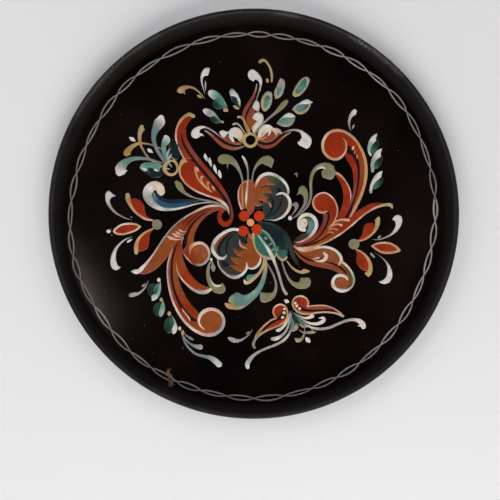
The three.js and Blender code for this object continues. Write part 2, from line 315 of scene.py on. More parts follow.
def heart_flower():
    """The four-petalled flower in the middle, round its red beads."""
    return [
        # dark petals
        patch("moss>slate>slate", (12, 25, 22, 14),
              [(6, 24.5), (10.5, 26.4), (14.5, 25.4), (18.6, 22.8), (21.6, 19.6), (22.7, 15), (21.6, 12.6)],
              [(21.6, 12.6), (18.6, 13.2), (14.6, 12.4), (9, 14), (6, 24.5)]),
        patch("slate>slate>umber", (8, 2, 22, 5),
              [(6, 12), (10, 13.4), (15, 12.6), (19, 13.6), (22.4, 11.4), (23.8, 7), (22.4, 1.6),
               (18.6, -2), (13.6, -4.2), (7, -4.4)], [(7, -4.4), (6.4, 0), (6.2, 6), (6, 12)]),
        plain("ground", [(14.8, 17), (17, 17.4), (19, 14.6), (16.8, 13.6), (15.4, 14), (14.8, 17)]),
        brush("ground>night", (18.8, 12.6, 0.5), (18.7, 9, 1.3), (17.2, 5, 1.5), (14.4, 1.2, 1.5),
              (11, -1.7, 1.1)),
        brush("ground>night", (11.6, 11.4, 0.5), (12.8, 8, 1.5), (12.6, 4.4, 1.8), (10.8, 0.6, 1.8),
              (8, -2.8, 1.3)),
        brush("night", (5.6, 4.6, 2.2), (2.4, 4, 1.6), (0.8, 3.4, 0.8)),
        # tan petal with ribs
        patch("rust>clay>clay", (-9, 12, 1, 12),
              [(-7.8, 3.2), (-9.6, 7), (-10.3, 12), (-10, 16), (-8.6, 19.2), (-6, 21.4), (-3.4, 22),
               (-0.6, 21.4), (1.4, 19.2)],
              [(1.4, 19.2), (2.6, 12), (1, 6), (0.4, 2.6), (-1.4, 0), (-3, -1), (-5, 3.4), (-7.8, 3.2)]),
        brush("peach", (-7.4, 18.6, 0.5), (-7.6, 13, 1), (-7.3, 8, 0.9), (-7, 4, 0.4)),
        brush("rust", (-6.2, 20.4, 0.5), (-6.2, 13, 1.1), (-6, 5, 0.5)),
        brush("rust", (-1.2, 20.6, 0.4), (-1.6, 14, 0.8), (-1.2, 7, 0.5)),
        # orange petal with fingers
        patch("clay>rust>clay", (6, 24, 6, 6),
              [(0.6, 18.4), (2, 21.8), (4.6, 24.2), (7.4, 24.8), (9.8, 23.4), (12.6, 21), (15.2, 19.2)],
              [(15.2, 19.2), (11.6, 19.2), (8, 18.8), (4.8, 17.6)],
              [(4.8, 17.6), (7.6, 18.2), (9.8, 17.4), (11.6, 15.6), (12.8, 13.6)],
              [(12.8, 13.6), (10.4, 13.8), (7.6, 13.6), (4.8, 14)],
              [(4.8, 14), (7.6, 12.6), (9.4, 11.6), (9.8, 10.4)],
              [(9.8, 10.4), (8.6, 9.2), (5, 8.8), (2, 8.6)], [(2, 8.6), (4.6, 7.8), (5.9, 6.6), (5.8, 5.2)],
              [(5.8, 5.2), (2.6, 4.9), (0.4, 5.6), (0.2, 12), (0.6, 18.4)]),
        brush("clay>rose>pink", (6.6, 8.6, 1.6), (9, 8, 1.8), (10.6, 6.6, 1.6), (11.4, 4.6, 0.6)),
        brush("maroon>umber", (4.4, 17.3, 0.4), (8, 18.4, 0.9), (12, 19, 0.4)),
        brush("moss>slate", (4.2, 14.1, 0.5), (8, 13.2, 1), (12, 12.8, 0.8)),
        # rims of the upper petals
        brush("pink>pink>peach>rose", (-7.9, 3.2, 1.3), (-9.5, 7.2, 1.1), (-10.1, 11.4, 0.9),
              (-10, 15.2, 0.8), (-8.9, 18.4, 0.7), (-6.9, 20.6, 0.8), (-4.4, 21.9, 1), (-1.8, 22, 0.9),
              (0.4, 20.8, 0.4)),
        brush("pink>pink>cream>peach", (-4, 21.9, 0.9), (-4.2, 18, 1.2), (-4.8, 12, 1.5), (-5, 8, 1.3),
              (-4.8, 4, 0.5)),
        brush("peach>cream>white>white>aqua>white>white>chalk", (1.3, 18, 0.8), (2.1, 21, 1.6),
              (4.4, 24.3, 2.1), (7.2, 26.1, 2.2), (10.6, 26.6, 2.1), (14.6, 25.5, 1.9), (18.6, 22.9, 1.9),
              (21.5, 19.6, 1.7), (22.8, 16.4, 1.5), (22.9, 13.6, 1.3), (22.4, 12, 0.7)),
        brush("white>white>cream>white>chalk", (15, 12.3, 0.3), (16.6, 13.3, 1.2), (19.2, 13.7, 1.5),
              (21.7, 12.3, 1.8), (23.5, 9.8, 2), (24.1, 7, 2.1), (23.6, 4, 2.1), (22, 1, 1.9),
              (19.5, -1.7, 1.6), (16.5, -3.4, 1.3), (13.6, -4.3, 1), (10.8, -4, 0.4)),
        # lower left petal
        patch("slate>slate>umber", (-14, -14, -16, -40),
              [(-10, -12.4), (-15, -12.4), (-20, -14.6), (-24.4, -18), (-26, -22.6), (-24.4, -26.8),
               (-23.6, -30.4), (-22.4, -35), (-18.6, -39), (-13, -41.2), (-8, -39.8), (-5.2, -36.6)],
              [(-5.2, -36.6), (-6, -28), (-5, -20), (-6, -14), (-10, -12.4)]),
        brush("rose>clay>clay>rose", (-16.6, -12.8, 0.4), (-21, -15.4, 1.3), (-24, -18.8, 1.8),
              (-25.2, -22.2, 1.7), (-24.8, -25.6, 0.6)),
        brush("ground", (-14.6, -13, 0.5), (-19, -16.2, 1.4), (-22, -20.4, 1.8), (-23, -24.6, 1.6),
              (-21.6, -28, 0.6)),
        brush("ground", (-13.4, -13.6, 0.5), (-16.6, -17.4, 1.3), (-18, -22, 1.6), (-17.4, -27, 0.6)),
        brush("night", (-9, -14.8, 2), (-7.2, -17, 3.4), (-6, -19, 2.6)),
        patch("night>ground", (-22, -31, -16, -35),
              [(-22.8, -30.4), (-20, -30.4), (-16, -34), (-18, -36), (-21, -34.6), (-22.8, -30.4)]),
        patch("rust", (-2, -14, -6, -38),
              [(-3.4, -13), (-4.4, -17), (-4.2, -19.6), (-7.4, -19.4), (-9.3, -17.4)],
              [(-9.3, -17.4), (-9, -20.4), (-7, -22.2), (-4.4, -23)],
              [(-4.4, -23), (-7.6, -24.2), (-10.6, -24), (-13.8, -22.6)],
              [(-13.8, -22.6), (-12.6, -25.8), (-10.4, -27.8), (-7.2, -28.6)],
              [(-7.2, -28.6), (-10.6, -28.9), (-15.3, -28.2)],
              [(-15.3, -28.2), (-14.3, -31), (-12, -33.1), (-8.6, -33.7)],
              [(-8.6, -33.7), (-12, -33.8), (-15.9, -33.9)],
              [(-15.9, -33.9), (-13.4, -36.2), (-10.5, -37.8), (-7.5, -38.4), (-5, -36)],
              [(-5, -36), (-4.6, -33.2)],
              [(-4.6, -33.2), (-3.6, -34.8), (-1, -35.5), (2, -34.2), (4, -31), (4.5, -27.5), (1.6, -23.6),
               (-0.8, -19), (-1.8, -14), (-3.4, -13)]),
        brush("pink>peach>peach", (-9.2, -17.2, 0.4), (-9.1, -20, 1), (-7.4, -22, 1.3), (-4.6, -22.9, 0.6)),
        brush("white>white>cream>white>chalk>white>white>chalk", (-10, -10.6, 1.9), (-13.5, -10.3, 2),
              (-17, -11.2, 2.1), (-21, -13.4, 2.1), (-24.5, -16.5, 2.3), (-26.8, -20.2, 2.3),
              (-27, -24, 2.4), (-25.3, -27.2, 2.2), (-22.6, -29.3, 2), (-20, -29.4, 1.9),
              (-18.6, -28.3, 1.2), (-17.6, -27, 0.3)),
        brush("chalk>chalk>chalk>white>cream", (-23.8, -29.8, 0.9), (-23.4, -33, 1), (-21.8, -36.3, 1.2),
              (-18.5, -39.7, 1.5), (-15, -41.7, 1.8), (-11.5, -42, 2.1), (-8, -40.3, 1.9),
              (-5.4, -37.6, 1.7), (-4.4, -35.2, 1.6), (-4.7, -32.4, 0.4)),
        brush("cream>white>white>cream", (-4.1, -35.6, 1), (-1, -36.3, 1.2), (2, -35, 1.6), (4, -32.4, 1.6),
              (4.7, -29.8, 1.1), (4.5, -28.2, 0.3)),
        # green leaf with a pale vein and the dark one behind it
        patch("night>night>forest", (6, -6, 20, -30),
              [(3, -6), (8, -6.4), (13, -8.2), (18.4, -12), (21.6, -17.4), (22.8, -23.6), (22, -29)],
              [(22, -29), (18, -29.6), (14, -25), (9, -15), (3, -6)]),
        brush("slate>slate>night>slate>slate>ground", (2.6, -5.4, 0.6), (9, -6, 1.1), (14, -7.8, 1.9),
              (19, -11.4, 2.7), (22.6, -16.6, 2.9), (24.6, -22.6, 2.9), (26.2, -28, 2.7), (28.6, -32.4, 2),
              (31, -35.4, 0.6)),
        brush("night", (9, -8.4, 0.6), (14, -12, 1.2), (18, -17.4, 1.6), (19.4, -23, 1.2)),
        patch("forest>sea>sea", (14, -22, 20, -29),
              [(15.4, -22), (18, -23.6), (20.8, -23.8), (21.9, -28.9), (18.4, -30), (16, -27),
               (15.4, -22)]),
        patch("sea>forest>sea", (4, -12, 14, -27),
              [(3.4, -12.4), (6.6, -11.4), (9.6, -14.4), (12.6, -18.6), (14.8, -23), (15.2, -26.4)],
              [(15.2, -26.4), (13.4, -28.8), (8, -22), (3.4, -12.4)]),
        plain("sea",
              [(0.4, -13.4), (3.4, -13), (7, -19.4), (12, -28.8)],
              [(12, -28.8), (8, -28.4), (4.4, -26.2), (1.8, -22.2), (0.6, -18), (0.4, -13.4)]),
        blob("night", 6.4, -14.3, 2, 1.4, 40), blob("night", 9.2, -17.6, 2.2, 1.5, 40),
        blob("night", 11.8, -21.4, 2.2, 1.4, 50), blob("sage", 8, -16.2, 2.4, 1.6, -30),
        brush("sage>sage>steel>sage", (5.4, -10.6, 1.2), (8.6, -12.8, 1.5), (11.6, -16.8, 1.6),
              (14, -21, 1.5), (15.2, -24.6, 1), (16.4, -21.8, 0.4)),
        brush("sage", (10, -21, 0.7), (12, -19.4, 0.9), (13.4, -18.6, 0.5)),
        brush("sage", (11.6, -24.4, 0.8), (13.4, -23.4, 0.9), (14.8, -23.4, 0.5)),
        brush("gold>sand>sand>peach>pink>chalk>sand", (-0.4, -13.6, 1.9), (-0.2, -17, 1.7),
              (0.5, -20.6, 1.3), (2, -24.2, 1.3), (4.6, -27.3, 1.5), (8, -29, 1.5), (11.4, -29.6, 1.5),
              (13.8, -28.8, 1.2), (15, -26.2, 0.4)),
        brush("sand>gold>sand>pink", (15, -25.8, 0.8), (16.4, -28.6, 1.3), (18.6, -30.4, 1.5),
              (20.8, -30.2, 1.4), (22, -28.6, 0.8)),
        brush("white>aqua>white>cream>chalk>chalk>chalk>chalk", (3, -14.2, 0.5), (5.2, -17.2, 1.2),
              (8, -21, 1.8), (10.6, -25.2, 2.2), (12.6, -29, 2.3), (14.2, -33, 1.8), (16, -38, 1.7),
              (17.5, -43, 1.6), (18.9, -48, 1.6), (20.2, -51, 1.9), (21.6, -52.8, 2.1)),
        # beads
        brush("rust>peach", (-3, -12, 0.7), (-2.4, -14.6, 1), (-1.6, -17, 0.4)),
        blob("scarlet", -6.3, -1.3, 7, 6.9), blob("scarlet", 3.6, -1.4, 6.9, 7),
        blob("scarlet", -6.9, -11.3, 7.1, 7), blob("scarlet", 2, -10.2, 7, 6.8),
        blob("apricot", -2.1, -5.7, 4.9, 4.9),
    ]


def heart_sprays():
    """The sprays that hang under the middle flower."""
    return [
        brush("chalk>sand>sand>gold", (22.2, -31.4, 0.7), (24, -34, 1), (26.6, -36.5, 1.4),
              (29.6, -38.2, 1.8), (33, -38.6, 2), (36.4, -38, 1.3)),
        blob("peach", 34, -37.6, 4, 2.2, -8),
        brush("gold", (34, -37.9, 2.4), (36.7, -37.9, 0.6)),
        brush("ash>ash>stone>olive>olive", (18.6, -31.6, 1), (20, -36, 1.2), (21.5, -40, 1.3),
              (23.6, -43.6, 1.7), (26.6, -46.4, 2.8), (30, -47.4, 4.6), (33, -46.6, 5.6)),
        patch("olive>stone", (32, -46, 38, -44),
              [(31.1, -42.2), (33.5, -42.3), (36.4, -42.2), (37.8, -44.4), (37.4, -47.2), (35, -49.2),
               (31.6, -49.7), (28.6, -49)], [(28.6, -49), (28.4, -45.6), (30.2, -44.8), (31.1, -42.2)]),
        brush("ash>ash>stone>olive", (8.6, -32.4, 0.7), (11, -36.4, 1.1), (13.4, -41.4, 1.3),
              (14.7, -46, 1.5), (14.6, -50, 1.9), (12.8, -54, 3), (10, -56, 4)),
        patch("stone>olive>olive", (4, -55, 9, -55),
              [(4.4, -51.8), (8, -52.3), (11.6, -52.2)],
              [(11.6, -52.2), (13.4, -51.6), (13.6, -54.2), (11.4, -57), (7.5, -58.7), (5, -58.2),
               (4.2, -56), (4.4, -51.8)]),
        # teal leaf and the long one that curls left
        patch("teal>teal>sea", (-5, -42, 5, -36),
              [(-5.2, -43.4), (-4.6, -41.2), (-2.5, -40.1), (0.5, -40), (3.4, -38), (6, -32)],
              [(6, -32), (4.8, -37.4), (1.4, -41.4), (-1.6, -43.8), (-5.2, -43.4)]),
        brush("gold>sand>sand>pink>gold>cream", (7.2, -28.6, 2), (6.9, -32, 1.9), (5.7, -35.8, 1.9),
              (3.3, -39.6, 1.9), (0.2, -42.8, 2), (-3, -45, 2.5), (-5.4, -45.6, 2.2), (-6.1, -44, 1.2)),
        brush("sand|gold>sand|sand>teal|sand>teal|sage>teal|sage>teal|aqua>teal|sage", (7.8, -29.4, 1.5),
              (8, -34, 2.2), (7.4, -39.4, 2.7), (6, -44.6, 3.1), (3.6, -49.4, 3.7), (0.2, -53.4, 4.7),
              (-4, -56.4, 5.8)),
        patch("sand>teal>steel>teal>sage", (-16, -58, 0, -56),
              [(-16.8, -58), (-16, -55.2), (-13.4, -53.2), (-11.4, -52), (-9, -52.6), (-7, -53.6),
               (-3, -52.8), (0, -51)],
              [(0, -51), (1, -55), (-2.4, -58.6), (-6.6, -61.4), (-12, -61.6), (-16.8, -58)]),
        brush("gold>ochre>sand>sage>stone", (-18.4, -59.6, 1.6), (-16.6, -60.8, 3.4), (-13.6, -61.8, 2.8),
              (-10, -62.2, 2.2), (-6.6, -61.2, 1.5), (-2.8, -58.8, 0.9), (0.4, -55.8, 0.5)),
        # olive comma under the left of the flower
        brush("olive>stone>olive>olive>olive", (-28, -30.6, 0.8), (-29.5, -34, 1.6), (-30.2, -38, 2.2),
              (-29.8, -42.4, 2.8), (-28, -46.6, 3.6), (-25.4, -49.6, 4.6), (-22.6, -50, 5.4)),
        patch("olive>olive>stone", (-26, -50, -18.5, -50),
              [(-26.4, -51.9), (-23, -52.9), (-19.8, -52.2), (-18.5, -50), (-19.2, -47.8), (-20.7, -45.4)],
              [(-20.7, -45.4), (-22.4, -47), (-26.4, -48), (-26.4, -51.9)]),
        brush("white>white>cream", (-28.8, -42.6, 0.3), (-27.4, -46, 1), (-25, -47.7, 1.7),
              (-22.2, -47.6, 1.4)),
        brush("stone", (-27.6, -31, 0.7), (-27.1, -33.2, 1.3), (-26.8, -35.4, 3.2), (-26.6, -37.2, 2)),
        blob("white", -28.1, -30.1, 1.8, 1.9),
    ]


def left_horn():
    """The red horn that rises to the upper left."""
    return [
        patch("brick>brick>flame", (-46, 64, -46, 36),
              [(-40, 65), (-44, 65.6), (-48, 62.6), (-51, 57), (-51.6, 51), (-50.2, 45), (-46.2, 36.8)],
              [(-46.2, 36.8), (-41, 36.4), (-38, 38), (-43.4, 47), (-45.2, 53), (-44.6, 58), (-40, 65)]),
        patch("brick>flame>brick>brick", (-44, 34, -18, 4),
              [(-46, 36.6), (-48.6, 33), (-49.2, 28.4), (-47.4, 23), (-43.2, 18.2), (-37, 14.4),
               (-30, 11.8), (-24, 9.4), (-18.8, 6), (-16.8, 2)],
              [(-16.8, 2), (-17.6, 6), (-20.6, 11.6), (-25, 17.8), (-31, 25), (-37, 31.4), (-42, 36),
               (-46, 36.6)]),
        brush("maroon>ground>ground>maroon", (-48.2, 53.4, 0.6), (-47, 48.4, 1.5), (-44.8, 43.4, 1.9),
              (-41, 38, 2), (-36.4, 31.8, 2), (-30.8, 25, 2.1), (-25.6, 18.6, 1.9), (-21, 12.6, 1.7),
              (-18, 7.6, 1.6), (-16, 2.6, 1.5), (-15.6, -1.6, 1)),
        brush("brick>brick>rose>rose>brick>rose>brick>rose>plum>plum", (-45.6, 56, 1.6), (-45.8, 51.4, 2.4),
              (-43.8, 46, 2.8), (-40.4, 40.4, 3), (-36, 34.6, 3.1), (-30.6, 28.4, 3.1), (-25.4, 22.2, 3),
              (-20.8, 16, 2.5), (-17, 9.8, 1.7), (-15, 4.6, 1.4), (-14.2, 0, 1.6)),
        brush("plum>brick>flame>flame>brick>flame>rust", (-14.2, 0, 1.6), (-14.8, -3.4, 2.3),
              (-16.8, -6.2, 3.2), (-19.4, -6.8, 3.4), (-21.8, -5, 3.1), (-22.6, -1.8, 2.9),
              (-21.6, 1.2, 2.9), (-19.2, 3.2, 2.4), (-16.9, 2.6, 1)),
        brush("plum", (-50.6, 49.4, 0.4), (-49.2, 45, 0.9), (-47, 41, 0.8), (-44.6, 37.4, 0.4)),
        brush("sand>ochre>peach>peach>cream>cream>peach", (-40, 64.9, 2.5), (-42.6, 66.1, 2.4),
              (-46.2, 64.3, 2), (-49.4, 60.4, 1.7), (-51.3, 55.4, 1.3), (-51.6, 50.6, 1.1),
              (-50.7, 46.2, 0.9), (-48.8, 41.4, 0.9), (-46.7, 37.8, 1), (-45.9, 36.2, 1.4)),
        brush("gold>gold>peach>peach>cream>peach>cream>peach", (-44.2, 34.6, 0.6), (-46.4, 35.2, 3),
              (-48.4, 32.6, 1.8), (-49.1, 29.3, 1.5), (-48.5, 25.5, 1.4), (-46, 21.3, 1.3),
              (-42, 17.6, 1.3), (-37, 14.6, 1.2), (-31, 12.2, 1.2), (-26, 10.6, 1.4), (-21.5, 8.3, 1.9),
              (-18.2, 5.3, 2.1), (-16.8, 2.4, 1.4), (-16.2, -0.3, 0.4)),
        brush("pink", (-38.9, 31, 1), (-37.6, 29.8, 1.8), (-36.3, 28.2, 0.5)),
        brush("peach", (-38.6, 30.4, 1.7), (-38.3, 27.6, 1.4), (-37.5, 24.8, 1.2), (-35.8, 21.8, 1.2),
              (-33.4, 18.9, 1.1), (-30.4, 16.2, 1), (-27.6, 14.4, 0.8)),
        brush("peach", (-33.1, 24.4, 0.5), (-34.4, 24.6, 1.7), (-34.7, 22.8, 1.2), (-33.6, 20.4, 1),
              (-31.5, 17.9, 0.9), (-29, 15.7, 0.7)),
        brush("peach", (-29.3, 20.6, 0.5), (-30.3, 20.9, 1.5), (-30.3, 18.8, 1), (-29.6, 16.9, 0.8),
              (-28.4, 15.3, 0.5)),
        brush("pink", (-27.4, 18.1, 0.9), (-26.5, 16.8, 1.4), (-25.8, 15.6, 0.7)),
        brush("white", (-32.4, 39.6, 0.9), (-32, 38, 2.2), (-31.2, 36.2, 1.6), (-30.9, 34.9, 0.4)),
        brush("white", (-29.4, 36.9, 0.9), (-29.1, 35, 2.1), (-28.4, 32.8, 1.4), (-28, 31.1, 0.3)),
        brush("white", (-26.2, 32.4, 0.9), (-25.8, 30.4, 2.2), (-25, 28.2, 1.4), (-24.5, 26.5, 0.3)),
        brush("white", (-22.8, 28.6, 0.9), (-22.6, 26.6, 2.4), (-22, 24.8, 1.6), (-21.7, 23.4, 0.3)),
    ]


def blue_curl():
    """The blue wave with a white head, to the left of the middle."""
    return [
        patch("navy>navy>slate", (-62, 10, -38, 8),
              [(-64, 13.6), (-58, 9.8), (-50, 9.6), (-42, 9.6), (-35, 8.8)],
              [(-35, 8.8), (-42, 6.2), (-50, 4), (-58, 5), (-64, 8), (-64, 13.6)]),
        brush("teal>blue>blue>blue>blue>slate", (-66, 13.4, 1.6), (-65.2, 10, 3), (-62.2, 7.4, 3.4),
              (-57.6, 5.7, 3.2), (-52, 5.4, 3), (-46, 6.4, 2.4), (-39, 7.7, 1.4)),
        brush("cream>cream>white>chalk>chalk>white>aqua>white>white>white>aqua>chalk>ash>stone",
              (-61.4, 14.8, 5.4), (-62, 17, 5.6), (-64.4, 18.6, 6), (-67.6, 18, 6.3), (-69.9, 15.2, 6.5),
              (-70.2, 11.8, 6), (-68.4, 8.2, 5), (-65.4, 5.4, 3.8), (-61, 3.4, 2.6), (-56, 2.9, 1.9),
              (-50.6, 3.4, 1.4), (-45, 4.6, 1), (-39, 6.3, 0.8), (-33, 7.4, 0.9), (-27.6, 7.6, 1.1),
              (-23, 6.7, 1.2), (-19.4, 4.8, 0.8)),
        brush("ash>chalk", (-70.4, 14.4, 0.3), (-69.4, 10.8, 1.1), (-67, 7.4, 0.9), (-63.6, 5, 0.3)),
        brush("sage", (-67.6, 9.4, 0.3), (-65.6, 6.8, 0.7), (-61.6, 4.2, 0.3)),
        brush("ground", (-66.4, 15.4, 0.2), (-64.4, 13.8, 0.7), (-62.6, 12.4, 0.5)),
        brush("olive>olive>stone>ash>ash>stone>olive", (-51, 20.8, 2.6), (-49.8, 19.4, 4.2),
              (-48.2, 16.8, 3.8), (-46, 14.2, 2.2), (-42.4, 12, 1.4), (-38, 10.3, 1), (-33.6, 9.3, 1),
              (-28.8, 8.4, 1.2), (-24.2, 7, 1.5), (-20.6, 5.4, 1.5), (-18, 3.8, 0.7)),
    ]


def teal_spray():
    """The teal leaves round a ring, at the upper left."""
    return [
        patch("ground>night>night>ground", (-57, 44, -48, 38),
              [(-56.6, 47.6), (-53, 50), (-50, 46), (-48.6, 40), (-50.4, 36), (-53.6, 36), (-56, 40),
               (-56.6, 47.6)]),
        patch("night>night>ground", (-66, 29, -68, 23),
              [(-76, 30.2), (-72, 27), (-68, 24.4), (-63, 24), (-59.6, 27), (-60, 30.4), (-68, 31),
               (-76, 30.2)]),
        # ochre commas and white drops
        brush("ochre>ochre>gold>ochre>ash>ash>ash", (-84.2, 40.4, 4.4), (-83, 42.3, 4), (-80, 45, 2.8),
              (-75.6, 46.8, 1.6), (-70, 46.4, 1.1), (-65.4, 45, 0.9), (-61, 42.8, 0.8), (-59.2, 41.4, 0.4)),
        plain("ochre",
              [(-86.3, 39.5), (-81.7, 38.9)], [(-81.7, 38.9), (-81.6, 41.4), (-84, 42.4), (-86.3, 39.5)]),
        brush("sand>sand>ochre>ochre>ash>ash>chalk", (-74.2, 57.8, 2.6), (-74.8, 55.6, 3.4),
              (-75.6, 52.6, 2.6), (-75.6, 49, 2.3), (-75, 46, 1.8), (-73, 42, 1.4), (-70.4, 38, 1.3),
              (-67.6, 35.4, 1.5), (-64.6, 33.8, 1)),
        plain("sand",
              [(-74.4, 59.5), (-75.8, 57.6)], [(-75.8, 57.6), (-74.6, 55), (-72, 55.6)],
              [(-72, 55.6), (-74.4, 59.5)]),
        brush("white", (-81.8, 50.4, 1.4), (-80.6, 49.7, 2.7), (-79, 48.6, 1.4)),
        brush("white", (-69.8, 42.7, 1.6), (-68.8, 41.9, 2.4), (-67, 40.8, 0.7)),
        # long comma to the left
        brush("white>chalk>teal>steel>sage>steel>ash>ash>ash>ash", (-88.8, 27.8, 5.4), (-88.4, 29.8, 7),
              (-87, 32.2, 6.2), (-84, 34.9, 4.4), (-79.6, 36.6, 2.8), (-74, 36.8, 2.1), (-68.6, 36.1, 1.6),
              (-63.6, 34.6, 1.1), (-60, 33.4, 0.7)),
        brush("white", (-86.6, 27.6, 3.4), (-84.8, 28.4, 1.4), (-84, 29, 0.4)),
        # tall comma
        brush("white>chalk>steel>steel>steel>steel>ash>steel>ash>ash", (-61.4, 63.6, 4.2),
              (-62.2, 61.6, 6.6), (-63.6, 58.8, 6.4), (-65.6, 54.6, 4.2), (-66.3, 50.2, 3),
              (-65.5, 46, 2.5), (-63.4, 41.4, 2.3), (-60.8, 37.2, 2), (-58.8, 33.8, 1.4)),
        brush("white>chalk", (-60.2, 63, 2), (-59.7, 60.8, 1.9), (-60.6, 58.4, 1.3), (-62.6, 56.4, 0.6)),
        # short comma and its scribble
        brush("white>aqua>teal>sage>teal>steel>steel", (-58.6, 51.2, 2), (-58.4, 49.2, 4.2),
              (-59.4, 46, 3.4), (-59.6, 42.6, 3.1), (-58.6, 38.8, 3.1), (-57.4, 35, 2)),
        brush("white>aqua", (-58.2, 51.9, 1), (-56.4, 50.2, 1.6), (-56.2, 48.2, 1.4), (-57.4, 45.8, 0.5)),
        brush("aqua", (-55.4, 43.4, 0.5), (-56.6, 41.4, 1.3), (-57.4, 38.6, 1.5), (-57.2, 36, 1.2)),
        brush("aqua", (-54.6, 39.4, 0.7), (-56, 37.4, 1.8), (-56.8, 34.6, 1.6)),
        # scalloped leaf
        patch("aqua>teal>teal>sage", (-75, 31, -61, 33),
              [(-75.6, 30.6), (-74.2, 33), (-71, 34.2), (-66.6, 34.2), (-62, 33.4), (-59.8, 31.4)],
              [(-59.8, 31.4), (-62, 30.4), (-62.6, 28.2), (-64.6, 28.2), (-67, 30.4)],
              [(-67, 30.4), (-69.6, 30.4), (-70.6, 28.6), (-72.6, 28.2), (-75.6, 30.6)]),
        blob("white", -72, 29.5, 3, 1.8, -20), blob("white", -64.8, 29, 2.8, 1.4, -25),
        brush("steel", (-70.6, 29.4, 0.6), (-69, 27, 0.3)),
        # ring
        brush("gold>sand>gold>gold>sand>gold", (-53.6, 35.3, 1.2), (-51.3, 33.4, 1.6), (-50.4, 30.4, 1.5),
              (-51.4, 27.4, 1.6), (-54.3, 25.9, 1.8), (-57.4, 27, 2.1), (-59, 29.8, 2.6),
              (-58.2, 32.8, 2.6), (-56.2, 34.8, 1.8), (-53.6, 35.3, 1.2)),
        brush("sand>gold", (-55.2, 38, 0.5), (-53, 36.4, 0.8), (-51.2, 34, 0.9)),
        brush("aqua", (-58.2, 30.1, 0.6), (-56.8, 29.9, 1.1), (-55.7, 29.6, 0.5)),
        brush("aqua", (-56.6, 33.6, 0.6), (-55.2, 32.4, 0.9), (-54.3, 31, 0.4)),
    ]


